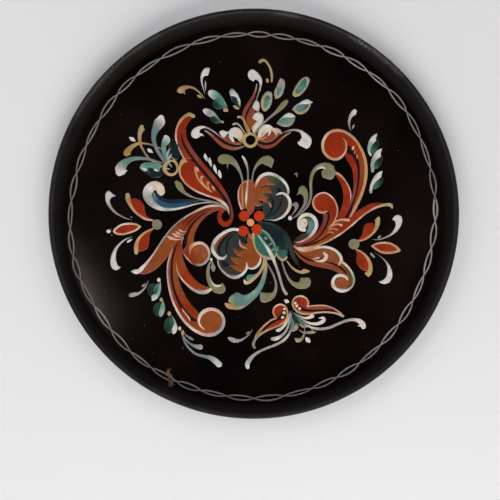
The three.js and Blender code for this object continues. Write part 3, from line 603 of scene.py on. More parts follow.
def left_fronds():
    """The long leaf and the two scrolls that sweep down to the left."""
    return [
        # leaf that points down and left
        patch("rust>brick>rust>rust>rose", (-24, 4, -76, -40),
              [(-19, 3.6), (-26, 4.8), (-32, 4), (-39, 1), (-48.6, -4.8), (-55, -10.6), (-60, -17.4),
               (-66, -26.6), (-71.4, -33.6), (-76, -38.4)],
              [(-76, -38.4), (-75, -39.9), (-69.8, -39.4), (-64.6, -36.6), (-59.6, -31.8), (-55, -26),
               (-50, -19), (-46, -14), (-40, -8), (-32, -1), (-24, 2.4), (-19, 3.6)]),
        # stems of the three scrolls
        brush("rose>rose>rose>rust>rust>rust", (-21, 3.4, 0.9), (-28, 1.6, 2), (-33.6, -2, 2.8),
              (-38, -7, 3.4), (-40.8, -12.4, 4), (-41.8, -18, 4.2), (-42.2, -22, 4.6)),
        brush("maroon", (-24, 3, 0.4), (-31.6, 0.4, 1), (-38, -4.2, 1.4), (-42.2, -9.6, 1.7),
              (-44.4, -15, 1.9), (-45, -20.4, 1.1)),
        brush("maroon>umber", (-28, 3.4, 0.3), (-34, 1.2, 0.9), (-39.6, -2.6, 1.1), (-44, -7, 1),
              (-46.4, -10, 0.4)),
        brush("maroon", (-36, 2, 0.3), (-42, -1.8, 0.6), (-47.4, -7, 0.4)),
        patch("brick>rust>flame>rust", (-50, -16, -30, -50),
              [(-49.6, -17), (-47.2, -17), (-47.6, -24), (-46.2, -31), (-43.4, -37.4), (-39, -43),
               (-34.4, -46.8), (-28.6, -48.8)],
              [(-28.6, -48.8), (-31, -51), (-35.5, -51.6), (-40.3, -49.6), (-45, -45.6), (-50, -38),
               (-52.4, -28), (-49.6, -17)]),
        patch("brick>rust>rust>brick>rust", (-52, -18, -38, -78),
              [(-49.4, -17), (-52.6, -21.6), (-55.2, -28), (-56.8, -37), (-56.2, -46), (-54.2, -55.4),
               (-50.4, -64), (-45, -71.6), (-38.4, -77), (-31, -79.6)],
              [(-31, -79.6), (-34, -72), (-36, -66), (-37, -64.4)],
              [(-37, -64.4), (-41.4, -59.6), (-45.4, -54), (-48, -48.6), (-49.6, -43), (-50.4, -36),
               (-49, -26), (-47.6, -18), (-49.4, -17)]),
        brush("maroon", (-50.4, -18.6, 0.4), (-52.3, -24, 1.3), (-53.7, -30, 1.5), (-54.3, -37, 1.6),
              (-53.8, -44, 1.7), (-52.3, -51, 1.9), (-50, -57, 2.1), (-47.2, -62, 2.1), (-44.4, -65.8, 2.6),
              (-41.2, -69.2, 2.8), (-38.4, -70.6, 1.8)),
        brush("rose", (-55.2, -30, 0.4), (-55.6, -38, 0.8), (-54.6, -47, 0.8), (-52, -56.4, 0.6)),
        # small round head
        patch("brick>rust>clay", (-43, -30, -32, -22),
              [(-44, -20), (-46.4, -24.6), (-43.6, -29.8), (-39.6, -33), (-35, -33.4), (-31, -30.8),
               (-29.8, -26.4), (-31.4, -22), (-35, -19.8), (-39.6, -20), (-44, -20)]),
        plain("clay",
              [(-40.6, -23.4), (-38, -20.8), (-34.4, -20.8), (-31.6, -23.4), (-31, -28), (-32.4, -30.4),
               (-36, -27)], [(-36, -27), (-40.6, -23.4)]),
        brush("pink>rose>rose>pink>rose>chalk>chalk>pink>pink>cream>peach>peach", (-46.6, -15.4, 0.6),
              (-47.8, -20.5, 0.9), (-46.8, -25, 1), (-44, -29.5, 1), (-40.5, -32.8, 1.1), (-36.5, -34, 1.2),
              (-32.5, -32.7, 1.4), (-30, -29.5, 1.4), (-29.4, -25.8, 1.5), (-30.8, -22, 1.6),
              (-33.9, -19.6, 1.8), (-37.3, -19.5, 2.1), (-40.2, -21.3, 1.6), (-42, -24, 1.1),
              (-42.1, -27, 0.3)),
        brush("peach", (-38, -18.8, 0.5), (-41, -20.2, 0.9), (-42.8, -22.6, 0.5)),
        # large round head
        patch("rust>rust>clay", (-36, -76, -20, -66),
              [(-35.4, -71.4), (-34, -67), (-30.4, -64.2), (-26, -64), (-22, -66.6), (-20.6, -71),
               (-21.8, -75.4), (-25.4, -78.4), (-30, -79), (-34, -76), (-35.4, -71.4)]),
        brush("peach>pink>chalk>pink>pink>cream>pink>cream>pink>chalk>chalk>pink>cream>cream>cream",
              (-53.6, -23, 0.4), (-55.3, -27.5, 0.9), (-56.6, -32.5, 1), (-57, -38, 1.1), (-56.6, -44, 1.2),
              (-55.6, -50, 1.3), (-54, -56, 1.4), (-51.5, -62, 1.5), (-48, -68, 1.6), (-43.8, -73, 1.8),
              (-38.5, -77.2, 1.9), (-33, -79.6, 2.1), (-28, -80, 2.1), (-23.5, -78.2, 2.1),
              (-20.4, -74.8, 2), (-19.7, -70.4, 1.9), (-21.3, -66.4, 2), (-24.8, -63.7, 2.1),
              (-29, -63.1, 2.2), (-33, -64.7, 2.4), (-35.7, -68, 2.1), (-36.1, -71.6, 1.4),
              (-34.8, -74.4, 0.9), (-32.2, -76.6, 0.3)),
        # leaf tip between the heads
        brush("peach>peach>cream>pink>chalk>chalk>cream", (-51, -33, 0.3), (-50.5, -37.5, 0.8),
              (-48.3, -42, 0.9), (-44.5, -46.3, 1.2), (-40.3, -49.8, 1.7), (-35.5, -51.8, 2.4),
              (-31, -51.4, 2.6), (-28.4, -50, 1.9)),
        brush("rose", (-49.8, -43.6, 0.4), (-48, -49, 0.7), (-45.2, -54.4, 0.4)),
        # pale rim and tip of the long leaf
        brush("stone>pink>cream>pink>chalk>stone>chalk>chalk>pink>cream>white", (-17.6, 3, 1),
              (-21.4, 5, 1.4), (-25.6, 5.4, 1.5), (-30, 5, 1.5), (-35, 3.3, 1.3), (-40, 0.8, 1.1),
              (-45, -2, 1), (-50, -5.6, 0.9), (-54.6, -10, 0.9), (-58.6, -15, 0.9), (-62, -20, 0.9),
              (-65.6, -25.6, 1), (-69, -30.4, 1.3), (-72, -34, 1.9), (-74.6, -36.6, 2.5)),
        patch("white>white>cream", (-81, -38, -73, -36),
              [(-81.3, -38.1), (-79, -37), (-75.6, -36.3), (-72, -33.4)],
              [(-72, -33.4), (-72.6, -36.4), (-74.8, -38.8), (-77.8, -39.9), (-81.3, -38.1)]),
        # pink feather strokes
        brush("pink", (-57, -14.9, 0.8), (-55.2, -15.9, 2.2), (-52.6, -16.8, 1.4), (-49.6, -17, 0.7),
              (-46.8, -16.6, 0.3)),
        brush("pink>pink>peach", (-53.8, -13.1, 0.7), (-52, -13.9, 2), (-50, -15, 1.3),
              (-46.6, -15.5, 0.4)),
        brush("pink>pink>peach", (-51.4, -11.9, 0.7), (-50, -12.7, 1.5), (-48.2, -13.8, 0.9),
              (-45.8, -13.7, 0.3)),
        brush("pink>pink>peach", (-49.6, -10.6, 0.6), (-48.4, -11.2, 1.3), (-46.4, -12, 0.8),
              (-44.2, -11.7, 0.3)),
        brush("pink", (-47.2, -62.6, 0.4), (-46.7, -63.8, 0.8), (-46, -65.2, 0.4)),
        brush("pink", (-45.9, -64.2, 0.4), (-45.3, -65.6, 0.8), (-44.6, -67, 0.4)),
        brush("pink", (-44.5, -65.9, 0.4), (-43.9, -67.3, 0.8), (-43.2, -68.8, 0.4)),
        brush("cream", (-43.1, -67.6, 0.4), (-42.5, -69.2, 0.9), (-41.9, -70.8, 0.4)),
    ]


def left_leaflets():
    """The drops and commas below the left fronds."""
    return [
        patch("ground>forest>forest", (-70, -50, -64, -50),
              [(-65, -46.4), (-68, -46), (-70.4, -50), (-69, -54.4), (-66.6, -54.6), (-65, -46.4)]),
        patch("forest>sea>teal", (-67, -52, -62, -48),
              [(-62.8, -45.6), (-65.2, -47.4), (-66.8, -51), (-66.6, -54)],
              [(-66.6, -54), (-64, -53), (-62.4, -49.6), (-62.8, -45.6)]),
        patch("chalk>aqua>aqua>white", (-61, -45, -67, -57),
              [(-61.8, -43.4), (-61.2, -47), (-61.4, -51), (-62.8, -54.8), (-65, -57), (-67.3, -57.7)],
              [(-67.3, -57.7), (-67.4, -54.4), (-66.4, -53.4)],
              [(-66.4, -53.4), (-64, -52.4), (-62.8, -49), (-61.8, -43.4)]),
        blob("cream", -62.7, -43.7, 2.3, 2.6),
        patch("ground>forest>forest", (-67, -63, -61, -62),
              [(-62, -58), (-65, -59.6), (-66.6, -63.4), (-65, -67), (-62, -67.6), (-60.4, -62),
               (-62, -58)]),
        patch("aqua>sage>aqua>chalk", (-60, -58, -61, -68),
              [(-59.9, -57.2), (-58.7, -60.6), (-58.8, -64.4), (-60, -67), (-61.7, -68.4)],
              [(-61.7, -68.4), (-62.7, -66), (-61.9, -62.6), (-61.2, -60), (-59.9, -57.2)]),
        blob("gold", -61, -56.8, 2.2, 2.6),
        patch("ground>forest>forest", (-60, -74, -54, -72),
              [(-56, -68), (-58.4, -70.6), (-59.4, -75), (-57.4, -78.6), (-54, -78.4), (-53.4, -72),
               (-56, -68)]),
        patch("forest>sea", (-56, -74, -53, -70),
              [(-55.2, -67.6), (-56.2, -72), (-55.4, -76), (-53.2, -74), (-53.4, -70), (-55.2, -67.6)]),
        patch("aqua>aqua>white>white", (-54, -68, -52, -79),
              [(-54.4, -66.8), (-51.8, -70.4), (-50.4, -75), (-51.3, -78.4), (-53.3, -79.7)],
              [(-53.3, -79.7), (-54.2, -76), (-53.4, -75)], [(-53.4, -75), (-52.6, -72), (-54.4, -66.8)]),
        blob("gold", -55.7, -66, 2.3, 3.1), blob("cream", -48.8, -75.7, 2, 2.7),
        blob("gold", -46.8, -78.5, 2.1, 3.4),
        brush("ash>steel>ash>ash>steel>chalk>white", (-47, -80.2, 0.8), (-45.6, -84.4, 1.2),
              (-42.6, -88.8, 1.4), (-38.2, -92.4, 1.6), (-33, -94, 1.9), (-28.6, -95, 2.9),
              (-25.4, -97, 3.9), (-22.8, -99.4, 3.9)),
        brush("ash>ash>steel>chalk", (-46.4, -80.4, 0.6), (-44.2, -83.8, 1.1), (-41, -86.4, 1.5),
              (-37.8, -87.6, 2.6), (-35.2, -88, 3.5)),
        brush("ash>steel", (-45.8, -79, 0.5), (-43.6, -81, 1.1), (-41.2, -82.4, 1.8), (-39.9, -83.2, 0.8)),
        brush("ash>chalk>chalk", (-69.7, -44.3, 0.3), (-71, -47.5, 0.9), (-73.2, -50.4, 1.1),
              (-76, -52.6, 1.6), (-79.2, -53.4, 2.8), (-81.2, -53.9, 2.5)),
        brush("chalk", (-71.4, -46.2, 0.4), (-72.6, -47.2, 1.2), (-73.6, -48, 0.7)),
        brush("ash>ash>chalk>chalk", (-0.8, -76.5, 0.3), (-3, -79.6, 0.8), (-6.2, -82.2, 1.1),
              (-9.5, -83.8, 1.8), (-12.6, -83.7, 2.8), (-15, -82.7, 2.6), (-16.6, -82, 1.2)),
        brush("ash", (-2.6, -77.8, 0.5), (-3.8, -78.6, 1.3), (-4.8, -79.2, 0.6)),
    ]


def left_tulip():
    """The open tulip at the far left."""
    return [
        patch("brick>flame", (-80, 9, -68, -3),
              [(-82.6, 10), (-79, 10.4), (-75, 8.8), (-72.6, 5.6), (-71.8, 1), (-70, -2), (-65.6, -4)],
              [(-65.6, -4), (-72, -2.6), (-77.6, 1.4), (-81, 6), (-82.6, 10)]),
        brush("sand>ochre>gold>peach>peach>pink>peach", (-83.4, 12.4, 2.9), (-83.1, 9.8, 3.3),
              (-81.8, 6.2, 2.2), (-79.2, 2.2, 1.6), (-75.6, -1, 1.5), (-71.6, -3.4, 1.4),
              (-66.8, -4.3, 1.2)),
        patch("brick>flame", (-92, -11, -76, -8),
              [(-92, -11.6), (-88, -8), (-82, -6.8), (-75.6, -8.4)],
              [(-75.6, -8.4), (-80, -12), (-87, -13.6), (-92, -11.6)]),
        brush("peach>cream>peach>cream", (-75, -8.4, 1.2), (-78, -7, 1.2), (-82, -6.6, 1.3),
              (-86.4, -7, 1.3), (-90.2, -9, 1.4), (-92.3, -11.6, 1.4), (-90.6, -13, 1.4),
              (-86.6, -13.5, 1.3), (-81.4, -12.2, 1.2), (-77.4, -10.4, 1.2), (-75, -8.4, 1)),
        patch("flame>brick", (-68, -12, -76, -24),
              [(-66.4, -10.4), (-68.6, -13.4), (-69.2, -18.6), (-70, -22.4), (-73.2, -24.4),
               (-76.8, -25.2)], [(-76.8, -25.2), (-76.8, -19), (-73, -13.6), (-66.4, -10.4)]),
        brush("peach>peach>gold>peach>gold", (-66.6, -9.8, 0.9), (-71, -11.9, 1.3), (-74.8, -14.9, 1.7),
              (-77, -18.6, 2.2), (-77.7, -22.4, 2.7), (-77.6, -25.6, 2.6)),
        blob("olive>stone", -63.9, -7.1, 6.5, 6.8, 20),
        patch("white>chalk>chalk", (-96, 14, -86, -2),
              [(-95.6, 15.3), (-97.3, 14.5), (-98.2, 12), (-97.7, 8), (-95.6, 4.2), (-92.4, 0.8),
               (-88.4, -1.6), (-84, -3.5), (-80.4, -4.2)],
              [(-80.4, -4.2), (-84.2, -2.8), (-88.4, -0.6), (-92, 2.4), (-94.5, 6), (-95.1, 9.2),
               (-94, 10.9), (-91.2, 11.8)], [(-91.2, 11.8), (-93.6, 13.4), (-95.6, 15.3)]),
        patch("chalk>white>white", (-80, -15, -92, -34),
              [(-79.8, -15), (-84.5, -16.3), (-88.6, -19.2), (-91.9, -23), (-94, -27.5), (-94.7, -32),
               (-93.8, -35.5), (-91.3, -37.3), (-89.2, -36.6), (-87.7, -35.2)],
              [(-87.7, -35.2), (-89.6, -34.4), (-90.8, -31.6), (-91.2, -28), (-90.4, -24), (-87.8, -20),
               (-84.4, -17.2), (-79.8, -15)]),
        brush("white", (-80.4, -16.9, 0.4), (-81.8, -17.6, 1.3), (-83.2, -18.5, 1.3)),
        blob("white", -96, -11.6, 2.9, 2.4), blob("ash", -93.9, -14.2, 0.9),
        blob("ash", -80.9, -2.2, 1.2, 0.9), blob("ash", -94.4, -10, 0.7),
    ]


def right_scrolls():
    """The tall scroll, the round-headed one and the long leaf, to the right."""
    return [
        # upper scroll
        patch("brick>flame>rust>brick>rust", (52, 52, 68, -2),
              [(54, 36.4), (49, 38), (46.2, 42), (46.2, 48), (49.6, 53), (55, 55.2), (61, 54), (66.6, 49.6),
               (71, 43), (73.8, 35), (74.2, 26), (72.4, 16), (69, 7.6), (64.4, -1)],
              [(64.4, -1), (66, 6), (68.4, 14), (69.8, 22), (70.2, 30), (68.6, 37), (65, 43), (61.6, 46)],
              [(61.6, 46), (61, 41.6), (58.4, 38), (54, 36.4)]),
        brush("maroon", (62.6, 44.6, 1.8), (64.4, 42.6, 3.4), (66.8, 38.8, 3), (68.9, 34, 2.1),
              (69.7, 29, 1.7), (69.6, 24, 1.5), (69, 19, 1.4), (68, 14, 1.2), (66.4, 8.6, 1.1),
              (64.4, 3.6, 1), (62.6, 0, 0.6)),
        brush("brick>brick>flame>brick>rose>rose>plum>plum", (61.4, 39.6, 2.6), (63.6, 37, 4.4),
              (65.9, 33, 3.9), (67, 29.4, 3.4), (67.5, 25, 2.9), (67.4, 20, 2.4), (66.9, 15, 2),
              (65.4, 10, 1.6), (63.6, 5, 1.3), (61.4, 0, 0.8)),
        brush("cream>pink", (66.2, 44.8, 0.6), (65.9, 43.6, 1.7), (65.3, 42.2, 0.8)),
        brush("peach>plum", (66.9, 41.8, 0.5), (66.9, 40.4, 1.3), (66.3, 38.8, 0.8)),
        brush("pink>plum", (68.4, 39.2, 0.5), (68.6, 37.8, 1.3), (68.1, 35.8, 0.6)),
        # middle stem from the olive ball
        brush("flame>brick>flame>brick>flame>brick", (55, 25.9, 1.2), (58.2, 22.6, 3.4), (60.8, 18, 4.7),
              (61.9, 12.6, 4.9), (61.6, 7.4, 4.9), (60.2, 2.4, 5), (58, -2, 4.6)),
        brush("peach>pink>peach>pink>pink>rose", (53.8, 27.2, 2.2), (56.8, 26, 1.5), (60, 22.7, 1.2),
              (62.7, 18.4, 1.1), (64.2, 14, 1), (64.2, 10, 0.7), (63.4, 6.4, 0.3)),
        # long leaf to the right
        patch("brick>rust>brick>flame>brick", (28, -21, 84, 6),
              [(27, -21.6), (26.4, -20.2), (31, -19), (37, -16.4), (42.6, -11.6), (46.4, -5.6), (47, 1)],
              [(47, 1), (55, -3), (60, -3), (64.4, -1.6), (67.6, 1), (72, 4), (77, 6.6), (82, 7.5),
               (87, 7)],
              [(87, 7), (84, 5.4), (79.5, 3.5), (74.5, 0.5), (69, -4), (63, -9.2), (57, -13.6),
               (50.5, -17.4), (44, -20.5), (36, -22.4), (27, -21.6)]),
        # lower scroll with the round head
        patch("flame>brick>brick", (42, 10, 52, -6),
              [(40, 7), (41.6, 11.4), (45.6, 13.5), (50.4, 11.8), (54, 8), (55.3, 3), (54.4, -3),
               (51.6, -8)], [(51.6, -8), (50.4, -2), (49.4, 1.4), (46, 1.2), (42.2, 2.6), (40, 7)]),
        brush("rose>plum>brick>rose>rose>rose", (46.8, 1, 2), (47.3, -3, 2.5), (46.2, -7.6, 2.6),
              (43.6, -12, 2.5), (39.6, -15.8, 2.2), (34.6, -18.4, 1.8), (29.6, -20, 1.6),
              (26.6, -20.6, 1.2)),
        brush("maroon", (49.6, 1, 1), (49.7, -2, 1.6), (48.8, -6, 1.3), (46.8, -10.4, 1.1),
              (43.6, -14.6, 1), (39.4, -18, 1), (34, -20.2, 1), (28.6, -21.4, 0.6)),
        brush("maroon", (52.4, -12.6, 0.4), (48.4, -15, 0.9), (44, -17.6, 1.1), (38.6, -20, 1.1),
              (32, -21.6, 0.6)),
        brush("rust", (51.6, -9.4, 0.6), (48.2, -13, 1.2), (44, -16.4, 0.8)),
        brush("maroon", (62.8, 1.2, 0.4), (62, -1.6, 1), (61, -3, 0.6)),
        brush("peach>peach>peach>peach>pink>pink>cream>peach>peach>peach>peach>peach", (48.4, 1.5, 0.9),
              (46.6, 0.9, 1.3), (44, 1, 1.3), (41.4, 2.7, 1.4), (39.6, 5.6, 1.4), (39.5, 8.8, 1.2),
              (41.3, 11.8, 1.1), (44.3, 13.6, 1.1), (47.6, 13.8, 1.1), (51.2, 11.7, 1), (53.9, 8.4, 1),
              (55.3, 4.5, 1.1), (55.4, 0.5, 1.1), (54.3, -3, 1), (52.4, -6.5, 1.1), (50, -9, 0.8)),
        brush("peach>peach>pink>peach>gold>cream>peach>peach>sand>"
              "peach>gold>peach>gold>peach>gold>peach>peach",
              (59.2, 50.4, 0.3), (60.8, 48.3, 0.9), (61.5, 45.5, 1.2), (61.2, 42.3, 1.3), (59.3, 38.9, 1.5),
              (56.3, 36.7, 1.8), (53, 36.3, 1.7), (49.5, 37.8, 1.8), (46.8, 40.8, 1.8), (45.8, 44.5, 1.9),
              (46.3, 48.5, 1.9), (48.5, 52.3, 1.9), (51.8, 54.7, 1.9), (55.5, 55.4, 1.9), (59.5, 54.8, 1.8),
              (64, 52.3, 1.7), (68, 48.4, 1.6), (71.3, 43, 1.7), (73.6, 37, 1.9), (74.5, 31, 2),
              (74.4, 25, 2), (73.3, 19, 1.9), (71.3, 12.7, 2), (69, 7.5, 2.1), (66.3, 2.3, 2),
              (64, -1.6, 1.4)),
        # rim of the long leaf and its feather strokes
        brush("sand>sand>pink>peach>pink>cream>peach>cream>peach>peach>peach>cream>peach", (91.6, 4.2, 1.4),
              (91, 5.6, 2.4), (88, 6.1, 2), (84, 5.3, 1.6), (79.5, 3.5, 1.4), (74.5, 0.5, 1.1), (69, -4, 1),
              (63, -9.2, 1), (57, -13.6, 1), (50.5, -17.4, 1.1), (44, -20.5, 1.3), (38, -22.4, 2),
              (32.4, -23.4, 2.3), (28.6, -22.7, 1.8), (26.8, -21.6, 1)),
        brush("pink>peach", (62.6, -4.2, 2.1), (60.5, -3.9, 1.7), (57, -4, 1.3), (54.3, -5.2, 1.1),
              (52, -7, 0.7)),
        brush("rust", (60, -5.8, 0.4), (56.4, -5.6, 0.9), (53, -7, 0.5)),
        brush("pink>peach", (58, -7.5, 1.8), (56.5, -7, 1.1), (54, -7, 1), (51.5, -8.3, 0.8),
              (50, -9.5, 0.4)),
        brush("peach", (55.4, -10.5, 1), (53, -9.8, 0.8), (51, -10, 0.8), (49.4, -10.8, 0.3)),
        brush("peach", (52.4, -12.5, 1), (50.5, -12.1, 0.7), (48.8, -12.3, 0.3)),
    ]


def right_tail():
    """The scroll that curls down to the right."""
    return [
        patch("rust>rust>clay>rust>rust", (28, -23, 64, -40),
              [(27, -22.6), (33, -24), (40, -23.6), (47, -22.6), (52.6, -23.8), (56.6, -27.4), (58, -32),
               (62.4, -35), (65.4, -40), (65.6, -45)],
              [(65.6, -45), (62.8, -47.6), (62.4, -42.6), (59.4, -40.6)],
              [(59.4, -40.6), (55.6, -38.4), (51, -36), (45.4, -34.8), (40, -33), (35.6, -31.4),
               (30, -27.4), (27, -22.6)]),
        brush("rose>rust>rose>rust>rose>rose>rust", (27.4, -24.6, 1), (31, -28.6, 1.8), (36, -32, 2.2),
              (42, -33.8, 2.2), (48, -35, 2.2), (53.6, -36.6, 2.4), (58.2, -39, 2.4)),
        brush("maroon", (27.4, -23.8, 0.6), (30.6, -27, 1.4), (34.6, -29.6, 1.5), (39, -31.2, 1.1),
              (44, -32.3, 0.5)),
        brush("maroon", (47, -31.8, 0.5), (51.6, -32.8, 1.3), (56, -34.8, 1.6), (60, -37.8, 1.6),
              (61.6, -40, 0.8)),
        brush("rust>brick", (30, -25.6, 0.6), (36, -28.6, 1.4), (42, -29.4, 0.9)),
        brush("umber>moss", (59, -33.8, 0.5), (62.4, -38, 1.2), (64.2, -43, 1.4), (63.6, -46.6, 0.6)),
        patch("clay>rust", (56, -44, 62, -50),
              [(53.6, -46.6), (54.6, -43.4), (58, -41.8), (61.4, -43), (63.6, -45.4), (62, -48.6),
               (58.6, -50.2), (55, -49.2), (53.6, -46.6)]),
        brush("peach>cream>peach>peach>cream>white>white>white>white>cream", (27, -21.8, 0.9),
              (29.4, -23, 1.8), (33, -24.2, 2.2), (37, -23.9, 2), (41, -22.7, 1.7), (45, -22, 1.5),
              (49, -22.2, 1.6), (53, -23.6, 1.7), (56.2, -26.2, 1.8), (57.9, -29.4, 2), (57.9, -32, 1.7)),
        brush("pink", (58.2, -31.4, 2), (56.9, -32.6, 1.9), (56.4, -33.9, 1)),
        brush("pink>cream>cream>aqua>chalk>chalk>white>white>cream>cream>white>cream>cream",
              (58.2, -31.6, 1.4), (61.2, -34, 1.5), (64, -37.4, 1.4), (65.9, -41.2, 1.3),
              (66.3, -44.6, 1.3), (65, -47.8, 1.4), (62.2, -50.2, 1.7), (58.6, -51, 2), (55, -50, 2.2),
              (52.6, -47.4, 2.3), (52.5, -44.2, 2.2), (54.6, -41.4, 2.1), (58, -40.7, 2), (61, -42, 1.6),
              (62.2, -43.8, 0.7)),
        brush("cream>cream>peach", (46.4, -25.9, 1.2), (47.9, -27.6, 2.4), (47.4, -29.8, 2.4),
              (44.6, -31.3, 1.5), (41.4, -31.2, 0.9), (39, -30.2, 0.3)),
        brush("pink>pink>peach", (42.8, -29.2, 1.6), (41, -29.4, 1), (38.8, -29.6, 0.3)),
        brush("umber", (46.2, -28.2, 0.5), (44.6, -29.6, 1), (42, -30.4, 0.5)),
    ]


def pearl_curl():
    """The pale curl between the middle flower and the right scrolls."""
    return [
        patch("umber>umber>ground", (33, -15, 27, -18),
              [(36, -12), (32, -13.4), (28, -16), (25.6, -19)],
              [(25.6, -19), (30, -18.8), (34, -17), (38, -13.6), (36, -12)]),
        patch("umber>teal>steel>teal>slate>umber", (36, -2, 33, -17),
              [(33, -2.4), (36.5, -1.6), (39.4, -3.4), (40.7, -6.6), (40, -10.4), (37.8, -13.6),
               (34, -16.4), (30, -18)],
              [(30, -18), (33, -14.6), (35.2, -11.6), (36.2, -8.4), (35.8, -5), (33, -2.4)]),
        brush("plum", (39.6, -4.6, 0.5), (40.4, -7.4, 1), (39.8, -10.4, 0.5)),
        brush("white>white>white>white>cream>white>white>white>cream>peach>pink>peach", (33.4, -10.6, 2.6),
              (31.2, -9.6, 3.2), (30.2, -7, 2.8), (30.2, -4.2, 2.4), (31.7, -1.9, 2.3), (34.2, -0.6, 2.3),
              (37, -0.7, 2.3), (39.6, -2.3, 2.4), (41.2, -5, 2.6), (41.4, -8.2, 2.5), (40.2, -11.4, 2.1),
              (37.8, -14.4, 1.7), (34.4, -17, 1.3), (31, -18.5, 1.1), (28.2, -19, 0.5)),
        blob("cream", 32.9, -6.6, 5.2, 7.4, -14), blob("peach", 34.1, -6.3, 2.1, 2.6),
        blob("cream", 35, -6.6, 1.3, 2.8, -10),
    ]


def right_sprigs():
    """The olive stems between the middle flower and the right scrolls."""
    return [
        brush("olive>olive>stone>stone>olive>olive>stone>ash>ash>ash>ash>stone>ash", (51.6, 30.4, 4),
              (49.4, 32, 3.6), (46, 32.3, 3), (42.6, 31, 2.8), (40, 28.4, 2.4), (38.4, 24.8, 2.1),
              (37.8, 20, 1.9), (38, 15, 1.7), (37.6, 10, 1.6), (35.8, 5.4, 1.5), (33, 2, 1.1),
              (29.4, -0.8, 0.9), (26, -2.8, 0.5)),
        patch("olive>olive>stone", (48, 31, 51, 23),
              [(45.2, 28.6), (45, 26.4), (46, 24.2), (48.4, 23.4), (51, 22.7), (53, 24), (54.1, 27),
               (53.6, 30), (50.6, 32.6), (47, 30.6), (45.2, 28.6)]),
        brush("chalk>cream>cream", (40.8, 28.4, 0.4), (42.8, 30.2, 1.4), (45, 30.8, 1.5),
              (47.4, 30.2, 0.7)),
        patch("olive>olive>stone>stone", (32, 17, 29, 1),
              [(28.3, 12.2), (29.3, 14), (30.4, 17.6), (32.6, 18.8), (34.8, 17.3), (36, 14), (36.1, 10.4),
               (35, 6.8), (32.9, 3.4), (30.3, 0.8), (27, -1.8)],
              [(27, -1.8), (29.8, 1.6), (32.2, 5), (33.3, 8.2), (33, 11), (31.6, 12.9), (30, 13.2),
               (28.3, 12.2)]),
        patch("stone>stone>ash", (28, 7, 25, -1),
              [(24.8, 5.8), (26.3, 7.1), (28, 7.9), (29.5, 6.9), (29.7, 4.8), (28.5, 2.4), (26.6, 0.2),
               (24.2, -2.2)], [(24.2, -2.2), (26, 0.8), (27.2, 3.2), (26.8, 5), (24.8, 5.8)]),
        blob("white", 24.1, -2.8, 2.7, 3),
        brush("ash", (27, 26.4, 0.4), (28, 26.6, 0.9), (29.4, 26.4, 0.3)),
        brush("ash", (28.2, 27, 0.8), (28.6, 25.2, 0.6), (28.8, 24.4, 0.3)),
        # lone comma at the top right
        patch("white>chalk>ash", (67, 68, 64, 55),
              [(68.6, 68.4), (67.6, 69.4), (66.4, 69.3), (64.3, 67), (62.9, 63.5), (62.7, 60), (63.4, 57),
               (64.8, 54.8)],
              [(64.8, 54.8), (64.1, 58), (64.1, 60.8), (64.9, 63.4), (66.2, 65), (67.7, 65.8),
               (68.6, 68.4)]),
        brush("chalk", (66.6, 59.2, 0.5), (66.1, 58, 1.1), (65.5, 56.4, 0.4)),
    ]


def right_leaflets():
    """The three leaflets beside the tall scroll."""
    return [
        patch("sea>forest>night>ground", (78, 43, 84, 47),
              [(77.6, 42), (79.4, 39.6), (81.6, 42.4), (83.4, 46.6), (82.4, 51)],
              [(82.4, 51), (80.8, 48.8), (78.6, 45.6), (77.6, 42)]),
        patch("white>white>aqua>aqua>white", (81, 52, 77, 39),
              [(82.1, 53.5), (79.8, 52.4), (77.4, 50), (75.9, 46.4), (75.5, 43), (76.2, 40), (77.6, 38.1)],
              [(77.6, 38.1), (78.3, 39.2), (77.4, 41.4), (77.9, 44), (79.5, 46.8), (81.4, 48.8)],
              [(81.4, 48.8), (80.9, 49.8), (81.6, 51.4), (82.1, 53.5)]),
        patch("sea>forest>night>ground", (80, 33, 86, 36),
              [(79.8, 32), (80.4, 30), (82.8, 30.6), (85.2, 34), (86, 38)],
              [(86, 38), (83.4, 37.4), (81, 35.4), (79.8, 32)]),
        patch("white>white>chalk>aqua>chalk", (84, 42, 79, 28),
              [(85.3, 43.4), (83, 42.8), (80.5, 40.6), (78.7, 37.4), (77.6, 33.4), (77.8, 29.6),
               (78.2, 27.3)],
              [(78.2, 27.3), (79.6, 27.9), (80.1, 29.8), (79.8, 32), (80.8, 34.9), (82.8, 36.9),
               (84.5, 38)], [(84.5, 38), (84.3, 40), (85.3, 43.4)]),
        patch("sea>sea>forest>ground", (79, 19, 86, 22),
              [(78.8, 18), (79.2, 16.4), (82, 17), (85, 19.8), (86.4, 24.4)],
              [(86.4, 24.4), (83, 23), (80.4, 21), (78.8, 18)]),
        patch("white>white>white>white>chalk", (84, 27, 77, 14),
              [(85.6, 28.6), (83, 27.7), (80, 24.8), (78, 21), (77, 17.6), (76.7, 15), (77.2, 13.3)],
              [(77.2, 13.3), (78.3, 13.9), (78.6, 15.8), (79, 18), (80.5, 20.8), (82.8, 22.9),
               (84.6, 24.4)], [(84.6, 24.4), (84.9, 26.4), (85.6, 28.6)]),
    ]


